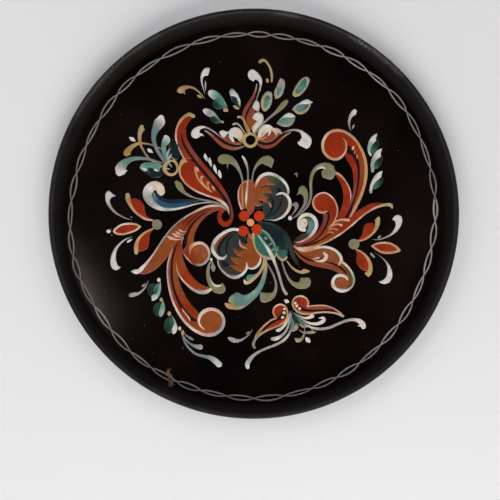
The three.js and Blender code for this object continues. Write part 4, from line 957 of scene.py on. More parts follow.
def right_tulip():
    """The open tulip at the far right."""
    return [
        patch("brick>flame>flame", (78, -7, 70, -17),
              [(68.6, -17.8), (71.4, -14.4), (72.5, -11), (73.2, -7.8), (75.4, -6.1), (78.4, -6),
               (81, -6.6)], [(81, -6.6), (80.8, -10), (77.6, -14.2), (73, -17), (68.6, -17.8)]),
        brush("peach>peach>peach>gold>sand>gold", (69, -18.2, 0.9), (72.6, -17.2, 1.2), (76.2, -15.2, 1.4),
              (79.4, -12.2, 1.7), (81.5, -8.6, 2.3), (82.2, -5.2, 3.1), (82.6, -2.9, 1.8)),
        plain("gold",
              [(83.2, -1.4), (81.2, -3), (80, -4.6)], [(80, -4.6), (82, -6), (83.6, -4.4), (83.2, -1.4)]),
        patch("brick>flame", (80, -21, 94, -24),
              [(78.6, -21.2), (83, -19.9), (88.4, -19.9), (93, -21.6), (95.6, -24)],
              [(95.6, -24), (90, -25.4), (84.6, -24.8), (78.6, -21.2)]),
        brush("peach>pink>gold>peach>gold", (78.2, -21.2, 1), (82, -19.7, 1.3), (86.5, -19.2, 1.4),
              (90.6, -19.8, 1.4), (94.2, -21.8, 1.6), (96.3, -24.2, 1.8)),
        brush("gold>peach>peach>pink", (96.2, -24.4, 1.6), (91.4, -25.7, 1.5), (86.2, -25.8, 1.4),
              (81.8, -23.8, 1.4), (78.2, -21.2, 0.9)),
        patch("flame>brick>flame", (68, -25, 75, -37),
              [(67.2, -23.4), (68.4, -27), (67.9, -31.6), (69.8, -35.4), (73.4, -37.8), (76, -38)],
              [(76, -38), (76.6, -33), (73.8, -28), (67.2, -23.4)]),
        brush("peach>peach>peach>peach>gold>gold", (68, -23.6, 0.8), (71.6, -25.5, 1.3), (74.6, -28.3, 1.7),
              (76.6, -31.8, 2.2), (77.3, -35.6, 2.6), (76.6, -39, 3), (75.9, -40.8, 1.8)),
        plain("gold",
              [(73.2, -39.4), (75.6, -37.4)], [(75.6, -37.4), (77.4, -39.6), (76, -41.8)],
              [(76, -41.8), (73.2, -39.4)]),
        blob("stone>olive>stone", 66.4, -20, 7.3, 6.8, 0),
        patch("white>white>chalk>ash", (96, -2, 80, -17),
              [(91.8, -3.8), (93, -1.8), (95.3, -0.6), (97.5, -1.5), (98.4, -4.5), (97.3, -8),
               (94.8, -11.5), (91, -14.4), (86.5, -16.4), (82, -17.4), (78, -17.1)],
              [(78, -17.1), (82.6, -16.6), (87, -15.2), (91, -12.8), (93.2, -9.8), (94, -7), (93.4, -4.8),
               (91.8, -3.8)]),
        brush("chalk", (84, -14.6, 0.6), (82.8, -15.6, 1.2), (82.2, -16.2, 0.5)),
        patch("white>white>chalk>chalk", (87, -45, 80, -26),
              [(82.6, -44.8), (84.5, -46), (87.3, -46.3), (90, -45), (91.6, -41.5), (91.3, -37.5),
               (89.5, -33.5), (86.5, -30), (83, -27.4), (79.4, -25.6)],
              [(79.4, -25.6), (83.2, -27.8), (86.4, -31), (88.2, -34.4), (88.5, -38), (87.8, -41.2),
               (85.8, -43.7), (82.6, -44.8)]),
        brush("chalk", (77.2, -25.9, 0.5), (78.4, -27.2, 1.4), (79.8, -28.8, 0.8)),
    ]


def butterfly():
    """The two-winged flower at the bottom."""
    return [
        # left wing
        patch("flame>brick>maroon", (15, -63, 22, -67),
              [(15.6, -68.6), (13.6, -66), (13.6, -63), (15.4, -60.8), (18.2, -60.4), (21, -62),
               (22, -65.6), (20.8, -69), (15.6, -68.6)]),
        patch("maroon>brick>rust>ochre", (20, -67, 3, -81),
              [(22, -67.6), (17.4, -69), (12.6, -70.8), (7.6, -74), (3.4, -78.6), (1.6, -82)],
              [(1.6, -82), (5.4, -79.2), (11.4, -76), (18, -73.4), (21, -71), (22, -67.6)]),
        brush("maroon", (20.4, -62.6, 1.4), (19.6, -65.4, 2.4), (17.6, -68.4, 2.4), (13.6, -71, 1.9),
              (9.4, -74, 1.6), (5.6, -77.6, 1)),
        brush("brick>flame>brick", (20.6, -70, 1.6), (16.6, -71.8, 1.8), (11.6, -74.4, 1.4),
              (6.6, -77.6, 0.6)),
        brush("peach>pink>pink>ochre>sand", (15.2, -69, 0.9), (11.8, -70.2, 1), (8.2, -72.8, 1),
              (5, -75.9, 1), (2.4, -79, 1), (0.8, -82.2, 1)),
        brush("peach>peach>cream>peach>gold>peach>ochre>peach>sand>stone>stone", (15, -69, 0.8),
              (13.4, -66.6, 1.1), (13, -63.6, 1.1), (14.7, -61, 1.1), (17.8, -59.9, 1.1),
              (20.9, -61.3, 1.2), (22.2, -64.2, 1.1), (22.3, -67.8, 1.3), (20.8, -70.9, 1.5),
              (17.5, -73.3, 1.5), (13.4, -75.1, 1.3), (9, -76.9, 1.3), (5, -79.3, 1.3), (2.2, -81.7, 1.3),
              (0.5, -84, 1.7), (-0.2, -86.5, 1.9), (0.6, -88.4, 1.5)),
        blob("cream", 20.3, -62.9, 1.9, 1.5), blob("cream", 20.1, -65.4, 2.1, 2.1),
        blob("cream", 19.1, -68.4, 2.1, 1.9),
        # right wing
        patch("maroon>brick>flame", (26, -62, 34, -57),
              [(35.2, -61), (35.6, -58), (33.6, -55.4), (30.4, -54.8), (27.2, -56.6), (26.4, -60),
               (28.4, -63.4), (32, -65), (35.2, -61)]),
        patch("rust>brick>rust>maroon>rose", (33, -65, 57, -65),
              [(31, -64.8), (35.8, -61.2), (41, -60.8), (47, -60.9), (52, -62.4), (57.6, -66.2)],
              [(57.6, -66.2), (52, -65.4), (44, -65.2), (36.6, -66), (31, -64.8)]),
        brush("maroon", (27.8, -59, 0.9), (29.6, -61.6, 2), (33, -63.4, 2), (38, -64.1, 1.6),
              (45, -63.9, 1.5), (51.6, -64, 1.4), (56, -65.6, 0.7)),
        brush("rust>rose", (35, -62.4, 0.9), (40, -62.2, 1.4), (46, -62, 1.3), (51.6, -63.2, 0.6)),
        brush("pink>pink>peach>sand", (35.6, -61.2, 0.9), (41, -60.7, 0.9), (47, -60.7, 0.9),
              (52, -62.2, 0.9), (56, -64.6, 1), (58.6, -67, 1.3)),
        brush("pink>peach>cream>gold>gold>peach>gold>peach>pink>pink>pink>pink>chalk", (35.4, -61.2, 0.9),
              (36.2, -58.6, 1.2), (34.7, -55.9, 1.1), (31.4, -54.4, 1.1), (28, -55.1, 1.1),
              (25.9, -57.8, 1.1), (26, -61, 1.2), (28.3, -64.1, 1.3), (32, -65.9, 1.5), (36.6, -66.2, 1.2),
              (42, -65.3, 1.1), (48, -65, 1.1), (53.6, -65.6, 1.1), (57, -66.6, 1.7), (59, -67.6, 1.7)),
        blob("cream", 27.5, -59, 1.9, 1.8), blob("cream", 28.5, -60.9, 2.1, 2.1),
        blob("cream", 30.4, -62.7, 1.9, 1.9),
        # body
        patch("slate>night>forest>ground", (25, -64, 29, -72),
              [(24.5, -63.6), (27.4, -66), (30.4, -70), (30, -72.6), (27.4, -72.4), (25.4, -70),
               (24.5, -63.6)]),
        # fan to the left
        brush("steel>chalk>cream>white>white", (24.2, -64.6, 0.6), (23.4, -68.4, 1.7), (21.4, -72.2, 1.6),
              (18.9, -75.2, 1.7), (16.4, -76.9, 2.3), (15.6, -77, 1.8)),
        brush("chalk>steel>chalk>chalk>chalk>chalk>white>chalk", (24.6, -66, 0.7), (24, -70, 1.3),
              (22.6, -74.6, 1.3), (20.6, -78.4, 1.5), (17.4, -81.2, 1.9), (14.4, -82.5, 2.7),
              (12.4, -82.5, 2.2)),
        brush("steel>sea>steel>cream>chalk>chalk>chalk>chalk>chalk>chalk>white", (25, -67.6, 0.7),
              (24.9, -72, 1.2), (24.5, -76, 1.3), (23.1, -79.8, 1.5), (19.6, -83.6, 1.7),
              (14.6, -86.4, 1.6), (9, -88.6, 1.5), (4, -90.8, 1.6), (0, -93.5, 2.1), (-2.8, -96.6, 2.9),
              (-4.2, -99.4, 3), (-3.9, -101.2, 2.4)),
        brush("steel", (25.6, -70, 0.6), (26.2, -73.4, 1.5), (25.4, -76, 1.4)),
        patch("stone>sand>stone>chalk", (29, -73, 23, -77),
              [(27.2, -73), (28.6, -72.6), (29.7, -74.4), (28.5, -76.6), (25.6, -77.9), (22.8, -77.6)],
              [(22.8, -77.6), (25.6, -76), (26.8, -74.6), (27.2, -73)]),
        # fan to the right
        brush("steel>chalk>cream>white", (26.6, -65.6, 0.5), (30.4, -67.8, 1.3), (34.4, -68.9, 1.5),
              (37, -68.4, 2), (38.7, -67.6, 2.7)),
        brush("steel>steel>chalk>cream>white>white>white>white", (27.6, -67, 0.6), (31.6, -69.6, 1.1),
              (35.6, -71.8, 1.4), (40.4, -72.7, 1.9), (44.4, -71.9, 2.2), (46.5, -70, 2.4),
              (45.6, -68.8, 1.9), (43.2, -68.9, 0.5)),
        brush("sea>steel>cream>chalk>chalk>chalk>chalk>chalk>cream>white", (29.4, -69.6, 0.7),
              (33.4, -72.6, 1.1), (38, -75, 1.4), (44, -76, 1.7), (50, -75.1, 1.7), (56, -72.6, 1.7),
              (62, -70.4, 1.7), (66.6, -70, 2), (70, -71, 3), (72, -73.2, 3.9), (72.4, -74.4, 3.4)),
        brush("white", (71, -73.4, 2), (69.6, -74, 0.9), (68.8, -74, 0.3)),
        brush("sea>steel", (28.8, -69.4, 0.6), (31.4, -71.8, 1.1), (34, -73.2, 0.6)),
        brush("sand>stone>cream", (30.4, -72.8, 0.6), (32.2, -74.3, 1.6), (34.6, -74.3, 1.6),
              (37, -73.6, 0.5)),
        # feelers and dots
        brush("olive>stone>olive>sand", (33.6, -75.4, 0.4), (33.5, -78.2, 0.9), (32.6, -81.2, 1.6),
              (30.8, -83.2, 2.4), (29, -83.7, 2.5)),
        plain("sand",
              [(26.9, -82.1), (30, -82.2)], [(30, -82.2), (30.8, -84), (28, -84.9)],
              [(28, -84.9), (26.9, -82.1)]),
        brush("stone>stone>stone>sand", (30, -76.6, 0.4), (32.4, -78.2, 0.9), (35.6, -78.5, 1.5),
              (38.6, -78.3, 2), (40.9, -78.2, 0.4)),
        brush("stone", (38.2, -76, 0.4), (39, -77.4, 1)),
        brush("white", (34.9, -82.4, 1.8), (35.8, -83.4, 3.2), (36.6, -84.2, 2)),
        brush("white", (20.9, -57.4, 1.6), (21.8, -57.8, 2.8), (22.5, -58, 2)),
    ]


MOTIFS = {f.__name__: f for f in (
    crown_flower, crown_leaves, leaf_fountain, heart_flower, heart_sprays, left_horn, blue_curl, teal_spray,
    left_fronds, left_leaflets, left_tulip, right_scrolls, right_tail, pearl_curl, right_sprigs,
    right_leaflets, right_tulip, butterfly,
)}


# ---------------------------------------------------------------- curves and colours

def through(points, step):
    """Centripetal Catmull-Rom curve through the points, sampled about every step millimetres."""
    knots = [Vector(p) for p in points]
    if len(knots) == 2:
        return [knots[0].lerp(knots[1], k / STRAIGHT_PIECES) for k in range(STRAIGHT_PIECES + 1)]
    knots = [2 * knots[0] - knots[1]] + knots + [2 * knots[-1] - knots[-2]]
    curve = []
    for before, start, end, after in zip(knots, knots[1:], knots[2:], knots[3:]):
        pieces = max(LEAST_PIECES, math.ceil(spread(start, end) / step))
        curve += [catmull_rom(before, start, end, after, k / pieces) for k in range(pieces)]
    return curve + [knots[-2]]


def spread(a, b):
    """Distance in the plane."""
    return math.hypot(b[0] - a[0], b[1] - a[1])


def catmull_rom(p0, p1, p2, p3, share):
    """The point at a share of the way from p1 to p2."""
    t1 = math.sqrt(max(spread(p0, p1), NEAR))
    t2 = t1 + math.sqrt(max(spread(p1, p2), NEAR))
    t3 = t2 + math.sqrt(max(spread(p2, p3), NEAR))
    t = t1 + (t2 - t1) * share
    a1 = p0.lerp(p1, t / t1)
    a2 = p1.lerp(p2, (t - t1) / (t2 - t1))
    a3 = p2.lerp(p3, (t - t2) / (t3 - t2))
    b1 = a1.lerp(a2, t / t2)
    b2 = a2.lerp(a3, (t - t1) / (t3 - t1))
    return b1.lerp(b2, (t - t1) / (t2 - t1))


def linear(paint):
    """A named paint as linear red, green and blue."""
    code = PAINTS[paint]
    parts = [int(code[k:k + 2], 16) / 255 for k in (0, 2, 4)]
    return Vector([p / 12.92 if p < 0.04045 else ((p + 0.055) / 1.055) ** 2.4 for p in parts])


def blend_of(colours, share, side=0):
    """The colour at a share of the way along "a>b>c"; side picks left or right of "left|right"."""
    names = [c.split("|")[side if "|" in c else 0] for c in colours.split(">")]
    place = min(max(share, 0), 1) * (len(names) - 1)
    low = min(int(place), max(len(names) - 2, 0))
    high = min(low + 1, len(names) - 1)
    return linear(names[low]).lerp(linear(names[high]), place - low)


# ---------------------------------------------------------------- paint as thin raised bodies

class Paint:
    """One piece's vertices, faces, colours and grain, gathered stroke by stroke."""

    placed = []  # boxes and layers of all the strokes so far, over the whole tray

    def __init__(self):
        self.verts = []
        self.faces = []
        self.colours = []
        self.grain = []

    def point(self, x, y, z, colour, along, across):
        """The number of a new point."""
        self.verts.append((x * MM, y * MM, z * MM))
        self.colours.append(tuple(colour) + (1,))
        self.grain.append((along, across))
        return len(self.verts) - 1

    def top(self, places):
        """Height of the next stroke: a step above every stroke that it may cross."""
        xs = [p[0] for p in places]
        ys = [p[1] for p in places]
        box = (min(xs), min(ys), max(xs), max(ys))
        under = [
            layer for (x0, y0, x1, y1), layer in Paint.placed
            if x0 < box[2] and box[0] < x1 and y0 < box[3] and box[1] < y1
        ]
        layer = max(under, default=0) + 1
        Paint.placed.append((box, layer))
        return SHEET + FILM + layer * LAYER_STEP

    def add(self, stroke):
        """A stroke, as brush, patch or blob gives it."""
        kind, colours, *rest = stroke
        {"brush": self.brush, "patch": self.patch, "blob": self.blob}[kind](colours, *rest)

    # Across a brush stroke: place from -1 to 1, lift from edge to middle (None is the foot), and painted
    # shade: darker at the edges, a painted highlight along the top of the dome.
    SECTION = (
        (-0.98, None, 0.86), (-1, 0, 0.86), (-0.82, 0.55, 1), (0, 1, 1.03), (0.82, 0.55, 1), (1, 0, 0.86),
        (0.98, None, 0.86),
    )
    FULL_HALF = 0.8  # half width from which a stroke has its whole dome
    BEND_SHARE = 0.92  # most of a bend's radius that the inner side of a stroke takes

    def brush(self, colours, stations):
        """A domed ribbon with rounded ends."""
        spine = through([Vector((x, y, w / 2)) for x, y, w in stations], CURVE_STEP)
        spine = [p for k, p in enumerate(spine) if not k or spread(p, spine[k - 1]) > TOUCHING]
        length = sum(spread(a, b) for a, b in zip(spine, spine[1:]))
        top = self.top([(p[0] + side * p[2], p[1] + side * p[2]) for side in (-1, 1) for p in spine])
        rings = []
        run = 0
        for k, here in enumerate(spine):
            back, ahead = spine[max(k - 1, 0)], spine[min(k + 1, len(spine) - 1)]
            run += spread(spine[k - 1], here) if k else 0
            way = Vector((ahead[0] - back[0], ahead[1] - back[1])).normalized()
            bend = turn_rate(back, here, ahead) if 0 < k < len(spine) - 1 else 0
            rings.append((here, way, bend, run))
        rings = rounded_end(rings[0], -1)[::-1] + rings + rounded_end(rings[-1], 1)
        rows = [self.ring(colours, top, length, *ring) for ring in rings]
        self.join(rows)
        self.faces.append(tuple(reversed(rows[0])))
        self.faces.append(tuple(rows[-1]))

    def join(self, rows):
        """Faces between each closed row of points and the next."""
        for a, b in zip(rows, rows[1:]):
            for k in range(len(a)):
                n = (k + 1) % len(a)
                self.faces.append((a[k], a[n], b[n], b[k]))

    def ring(self, colours, top, length, here, way, bend, run):
        """The points across a brush stroke at one place of its spine."""
        side = Vector((-way[1], way[0]))
        row = []
        for across, lift, shade in self.SECTION:
            half = here[2]
            if bend * across < 0:
                half = min(half, self.BEND_SHARE / abs(bend))  # the inside never folds over itself
            x, y = here[0] - side[0] * across * half, here[1] - side[1] * across * half
            z = height_of(top, lift, DOME * min(1, here[2] / self.FULL_HALF))
            left, right = (blend_of(colours, run / length, s) for s in (0, 1))
            # painted shade at the stroke's edges and a painted highlight along its middle
            colour = left.lerp(right, (across + 1) / 2) * shade
            row.append(self.point(x, y, z, colour, run, across * half))
        return row

    PATCH_CROWN = 0.3 * ROUNDED  # a patch's middle above its shoulders
    # painted shade along a patch's outline, where its crown falls away
    PATCH_EDGE_SHADE = 0.9

    def patch(self, colours, grain, spans):
        """A filled outline, slightly crowned."""
        rim = [p.to_2d() for span in spans for p in through([(x, y, 0) for x, y in span], CURVE_STEP)[:-1]]
        top = self.top(rim)
        flat, cells = triangles(rim)
        border = border_of(cells)
        outer = {i for e in border for i in e}
        start, way = Vector(grain[:2]), Vector(grain[2:]) - Vector(grain[:2])
        upper, lower = {}, {}
        for i in sorted({i for c in cells for i in c}):
            away = flat[i] - start
            share = away.dot(way) / way.length_squared
            shade, z = (self.PATCH_EDGE_SHADE, top - ROUNDED) if i in outer else (1, top + self.PATCH_CROWN)
            colour = blend_of(colours, share) * shade
            along, across = share * way.length, away.cross(way) / way.length
            upper[i] = self.point(*flat[i], z, colour, along, across)
            lower[i] = self.point(*flat[i], SHEET - SINK, colour, along, across)
        for c in cells:
            self.faces.append(tuple(upper[i] for i in c))
            self.faces.append(tuple(lower[i] for i in reversed(c)))
        for a, b in border:
            self.faces.append((upper[b], upper[a], lower[a], lower[b]))

    # From a dab's foot to its middle: size of the ring, lift (None is the foot), and painted shade, darker
    # at the foot.
    DAB = ((0.98, None, 0.84), (1, 0, 0.84), (0.93, 0.6, 1), (0.6, 0.95, 1))
    # painted highlight on the top of a dab
    DAB_MIDDLE_HIGHLIGHT = 1.04
    DAB_SIDES = 40

    def blob(self, colours, place):
        """A domed ellipse."""
        x, y, wide, high, turn = place
        reach = max(wide, high) / 2
        top = self.top([(x - reach, y - reach), (x + reach, y + reach)])
        cosine, sine = math.cos(math.radians(turn)), math.sin(math.radians(turn))
        rows = []
        for size, lift, shade in self.DAB:
            row = []
            for k in range(self.DAB_SIDES):
                angle = 2 * math.pi * k / self.DAB_SIDES
                u, v = math.cos(angle) * wide / 2 * size, math.sin(angle) * high / 2 * size
                colour = blend_of(colours, v / high + 0.5) * shade
                spot = (x + u * cosine - v * sine, y + u * sine + v * cosine, height_of(top, lift, DOME))
                row.append(self.point(*spot, colour, u, v))
            rows.append(row)
        self.join(rows)
        last = rows[-1]
        middle = self.point(x, y, top + DOME, blend_of(colours, 0.5) * self.DAB_MIDDLE_HIGHLIGHT, 0, 0)
        self.faces += [(a, b, middle) for a, b in zip(last, last[1:] + last[:1])]
        self.faces.append(tuple(reversed(rows[0])))

    def build(self, name, material):
        """The piece itself, from all that was added."""
        mesh = bpy.data.meshes.new(name)
        mesh.from_pydata(self.verts, [], self.faces)
        colour = mesh.attributes.new("Paint", "FLOAT_COLOR", "POINT")
        colour.data.foreach_set("color", [c for rgba in self.colours for c in rgba])
        grain = mesh.uv_layers.new(name="Grain")
        for loop in mesh.loops:
            grain.data[loop.index].uv = self.grain[loop.vertex_index]
        return finished(mesh, name, material)


def height_of(top, lift, dome):
    """Height at a lift from 0, the edge, to 1, the middle; None is the foot."""
    return SHEET - SINK if lift is None else top - ROUNDED + (ROUNDED + dome) * lift


def triangles(rim):
    """The outline with a square grid of points inside, and the triangles between them."""
    xs = [p[0] for p in rim]
    ys = [p[1] for p in rim]
    inner = [
        Vector((min(xs) + i * GRID_STEP, min(ys) + j * GRID_STEP))
        for i in range(1, int((max(xs) - min(xs)) / GRID_STEP) + 1)
        for j in range(1, int((max(ys) - min(ys)) / GRID_STEP) + 1)
    ]
    inside_only = 1
    outline = [list(range(len(rim)))]
    flat, _, cells, *_ = geometry.delaunay_2d_cdt(rim + inner, [], outline, inside_only, NEAR)
    return flat, [c if turn_of(*(flat[i] for i in c)) > 0 else c[::-1] for c in cells]


def border_of(cells):
    """The edges that only one triangle has."""
    edges = {(c[k], c[(k + 1) % 3]) for c in cells for k in range(3)}
    return {e for e in edges if e[::-1] not in edges}


def turn_of(a, b, c):
    """Positive where a, b, c turn left."""
    return (b - a).cross(c - a)


def turn_rate(back, here, ahead):
    """Signed curvature through three places, per millimetre, positive to the left."""
    area = (here[0] - back[0]) * (ahead[1] - back[1]) - (here[1] - back[1]) * (ahead[0] - back[0])
    return 2 * area / max(spread(back, here) * spread(here, ahead) * spread(back, ahead), 1e-6)


def rounded_end(ring, forward):
    """Rings that close a stroke's end in a half circle."""
    here, way, bend, run = ring
    ends = []
    for angle in END_ANGLES:
        reach = here[2] * math.sin(math.radians(angle)) * forward
        half = here[2] * math.cos(math.radians(angle))
        ends.append((Vector((here[0] + way[0] * reach, here[1] + way[1] * reach, half)), way, 0, run))
    return ends


def finished(mesh, name, *materials):
    """A smooth object of the mesh, riding with the tray."""
    body = bmesh.new()
    body.from_mesh(mesh)
    bmesh.ops.recalc_face_normals(body, faces=body.faces)
    body.to_mesh(mesh)
    body.free()
    mesh.shade_smooth()
    piece = bpy.data.objects.new(name, mesh)
    bpy.context.scene.collection.objects.link(piece)
    for material in materials:
        mesh.materials.append(material)
    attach(piece, "root")
    return piece


# ---------------------------------------------------------------- the braided border and the wear

BRAID_CROSSINGS = (
    5.8, 14.8, 24.8, 34, 43.2, 51.6, 60, 68.6, 76.8, 84.6, 92, 100.4, 110.2, 120.8, 130.4, 138.6, 148.2,
    157.8, 166.8, 175.6, 184.4, 193, 200.6, 210, 219, 228, 236.2, 245, 253.2, 261.4, 270, 279.4, 288.4,
    297, 305.4, 314.2, 322.8, 331.6, 340.4, 349.4, 358,
)  # degrees, where the painter's two lines cross
BRAID_DRIFT = (
    (0, 120.2), (20, 121.1), (38, 122.3), (57, 121.3), (80, 120.1), (105, 120.7), (135, 121), (152, 120.2),
    (171, 120.9), (197, 122.6), (214, 121.1), (231, 121.7), (257, 120.9), (275, 121.2), (300, 120.3),
    (318, 119.8), (336, 119.2), (355, 119.6), (360, 120.2),
)  # degrees and radius of the braid's middle line
DRIFT_STEP = 2  # degrees
BRAID_SWING = 1.75  # how far the lines swing from it at most
BRAID_CENTRE = (0.2, -0.6)
LENS_STEPS = 6  # stations from one crossing to the next
LENS_FULLNESS = 0.8  # under 1, a lens is fuller than a sine
SWING_SHARE, SWING_SPREAD, SWING_PACE = 0.82, 0.18, 2.1  # the swing's unevenness from lens to lens
LINE_WIDTH = 0.68  # at a crossing
LINE_SWELL = 0.26  # added between two crossings
SWELL_SPREAD, SWELL_PACE = 0.3, 3.7  # the swell's unevenness from lens to lens
LOAD_STATIONS = 36  # painted with one load of the brush
LOAD_TONES = (
    "ash>ash>chalk", "chalk>ash>ash", "ash>stone>ash", "ash", "chalk>ash>ash", "ash>ash>chalk",
    "chalk",
)


def braid_line(phase):
    """Stations of one of the two lines, once round the tray, uneven as by hand."""
    middle = through([(a, r, 0) for a, r in BRAID_DRIFT], DRIFT_STEP)
    stations = []
    crossings = (BRAID_CROSSINGS[-1] - 360,) + BRAID_CROSSINGS + (BRAID_CROSSINGS[0] + 360,)
    for lens, (first, last) in enumerate(zip(crossings, crossings[1:])):
        side = 1 if (lens + phase) % 2 else -1
        swing = BRAID_SWING * (SWING_SHARE + SWING_SPREAD * math.sin(lens * SWING_PACE)) * side
        uneven = 1 + SWELL_SPREAD * math.sin(lens * SWELL_PACE + phase)
        for k in range(LENS_STEPS):
            angle = first + (last - first) * k / LENS_STEPS
            mean = min(middle, key=lambda p: abs(p[0] - angle % 360))[1]
            bow = math.sin(math.pi * k / LENS_STEPS)
            radius = mean + swing * bow ** LENS_FULLNESS
            width = LINE_WIDTH + LINE_SWELL * bow * uneven
            turn = math.radians(angle)
            stations.append((
                BRAID_CENTRE[0] + radius * math.cos(turn),
                BRAID_CENTRE[1] + radius * math.sin(turn),
                width,
            ))
    return stations


def braid_strokes(phase):
    """The line as brush loads of a few lenses each, in tones that change from load to load."""
    stations = braid_line(phase)
    starts = range(0, len(stations) - 1, LOAD_STATIONS)
    return [
        brush(LOAD_TONES[k % len(LOAD_TONES)], *stations[start:start + LOAD_STATIONS + 1])
        for k, start in enumerate(starts)
    ]


def chip_and_specks():
    """A chip in the border, down to bare and rusty metal, and specks in the varnish."""
    return [
        patch("umber>bare>rusty>putty>umber", (-56.4, -102.4, -54.6, -115.4),
              [(-57.2, -103.2), (-56, -101.8), (-55.2, -103.6), (-55.6, -105.2)],
              [(-55.6, -105.2), (-54, -106.2), (-53.2, -108.2)],
              [(-53.2, -108.2), (-54.2, -109.6), (-53, -111.8), (-53.4, -113.8)],
              [(-53.4, -113.8), (-55.2, -115.2), (-56.2, -113.6)],
              [(-56.2, -113.6), (-56, -111.6), (-57.2, -110)],
              [(-57.2, -110), (-56.4, -107.6), (-57.4, -105.6), (-57.2, -103.2)]),
        brush("rusty", (-55.9, -105.8, 0.5), (-55.2, -108.6, 1.1), (-55, -111.6, 0.6)),
        blob("putty", -57.9, -106.8, 0.8, 0.5, 40), blob("bare", -52.4, -109.8, 0.7, 0.5, 10),
        blob("putty", -52.3, -112.8, 1.0, 0.6, -30), blob("umber", -58, -112.2, 0.9, 0.6, 20),
        blob("bare", -56.9, -116, 0.6, 0.5, 0), blob("putty", -54.4, -102.6, 0.5, 0.7, 0),
    ] + [blob("ash", x, y, size) for x, y, size in (
        (-71.8, -73.8, 0.5), (-80, -82.5, 0.4), (-46.7, -88.5, 0.5), (11.3, -45.5, 0.5), (38, 88, 0.35),
        (74, -88, 0.4), (-88, 66, 0.35), (-22, 101, 0.3), (-10, -68, 0.35), (96, 42, 0.35), (60, 84, 0.3),
        (-60, 20.6, 0.35), (33, 51, 0.35), (-98, -52, 0.45), (-66, -92, 0.4),
    )]


# ---------------------------------------------------------------- the pan, its wear and its painted sheen

def arc(centre, radius, start, end):
    """Points of a bend, with both ends."""
    steps = math.ceil(abs(end - start) / BEND_FACET)
    angles = [start + (end - start) * k / steps for k in range(steps + 1)]
    return [(centre[0] + radius * math.cos(a), centre[1] + radius * math.sin(a)) for a in angles]


def pan_profile():
    """Radius and height from the middle of the underside, round the curl, to the middle of the field.

    With it comes the finish of each stretch between two of its points.
    """
    down, tangent = -math.pi / 2, math.pi - WALL_LEAN
    raw_edge = tangent + math.acos((ROLL_INNER - ROLL_GAP) / ROLL_OUTER) - 2 * math.pi
    under = [(r, 0) for r in FIELD_RINGS]
    outside = arc(COVE_CENTRE, COVE_RADIUS + SHEET, down, -WALL_LEAN)
    curl_in = arc(ROLL_CENTRE, ROLL_INNER, tangent, raw_edge)
    curl_out = arc(ROLL_CENTRE, ROLL_OUTER, raw_edge, tangent)
    inside = arc(COVE_CENTRE, COVE_RADIUS, -WALL_LEAN, down)
    wall_top, wall_foot = Vector(curl_out[-1]), Vector(inside[0])
    wall = [tuple(wall_top.lerp(wall_foot, k / WALL_FACETS)) for k in range(1, WALL_FACETS)]
    field = [(r, SHEET) for r in reversed(FIELD_RINGS)]
    backs = [BACK] * (len(under) + len(outside) - 1)
    rims = [RIM] * (len(curl_in) + len(curl_out) + len(wall) + len(inside) - 1)
    fields = [FIELD] * (len(field) + 1)
    return under + outside + curl_in + curl_out + wall + inside + field, backs + rims + fields


# Arcs of the crest with chips and a painted sheen band, which stands in for light caught by the upper rim.
WEAR_AND_SHEEN_ARCS = ((42, 63, 1), (75, 85, 0.7), (116, 156, 0.5), (238, 250, 0.4))  # from, to in degrees; how far
WEAR_AND_SHEEN_ELSEWHERE = 0.1
ARC_FADE = 3  # degrees
WEAR_AND_SHEEN_BAND = 3  # from the crest down
WEAR_AND_SHEEN_RADIUS = TRAY_RADIUS - 2.2
OUTWARD_FADE = 1.5  # from that radius outwards


def wear_and_sheen_at(degrees, radius, height):
    """How much wear and painted sheen a point has, from 0 to 1: most along the inner side of the roll's
    crest.
    """
    outward = max(0, radius - WEAR_AND_SHEEN_RADIUS)
    crest = max(0, 1 - (TRAY_HEIGHT - height) / WEAR_AND_SHEEN_BAND) * max(0, 1 - outward / OUTWARD_FADE)
    rub_and_sheen = WEAR_AND_SHEEN_ELSEWHERE
    for first, last, depth in WEAR_AND_SHEEN_ARCS:
        rub_and_sheen = max(rub_and_sheen, depth * min(1, (degrees - first) / ARC_FADE, (last - degrees) / ARC_FADE))
    return crest * rub_and_sheen


def pan(*materials):
    """The pan turned from its profile, with its wear and painted sheen at each point."""
    profile, finishes = pan_profile()
    mesh = bmesh.new()
    wear_and_sheen = mesh.verts.layers.float.new("WearAndSheen")
    rows = []
    for radius, height in profile:
        row = []
        for k in range(ROUND_SEGMENTS):
            angle = 2 * math.pi * k / ROUND_SEGMENTS
            place = (radius * math.cos(angle) * MM, radius * math.sin(angle) * MM, height * MM)
            row.append(mesh.verts.new(place))
            row[-1][wear_and_sheen] = wear_and_sheen_at(math.degrees(angle), radius, height)
        rows.append(row)
    for a, b, finish in zip(rows, rows[1:], finishes):
        for k in range(ROUND_SEGMENTS):
            n = (k + 1) % ROUND_SEGMENTS
            mesh.faces.new((a[k], a[n], b[n], b[k])).material_index = finish
    bottom = mesh.verts.new((0, 0, 0))
    middle = mesh.verts.new((0, 0, SHEET * MM))
    for k in range(ROUND_SEGMENTS):
        n = (k + 1) % ROUND_SEGMENTS
        mesh.faces.new((rows[0][n], rows[0][k], bottom)).material_index = BACK
        mesh.faces.new((rows[-1][k], rows[-1][n], middle)).material_index = FIELD
    data = bpy.data.meshes.new("pan_enamelled")
    mesh.to_mesh(data)
    mesh.free()
    piece = finished(data, "pan_enamelled", *materials)
    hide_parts(PAN)


# ---------------------------------------------------------------- materials

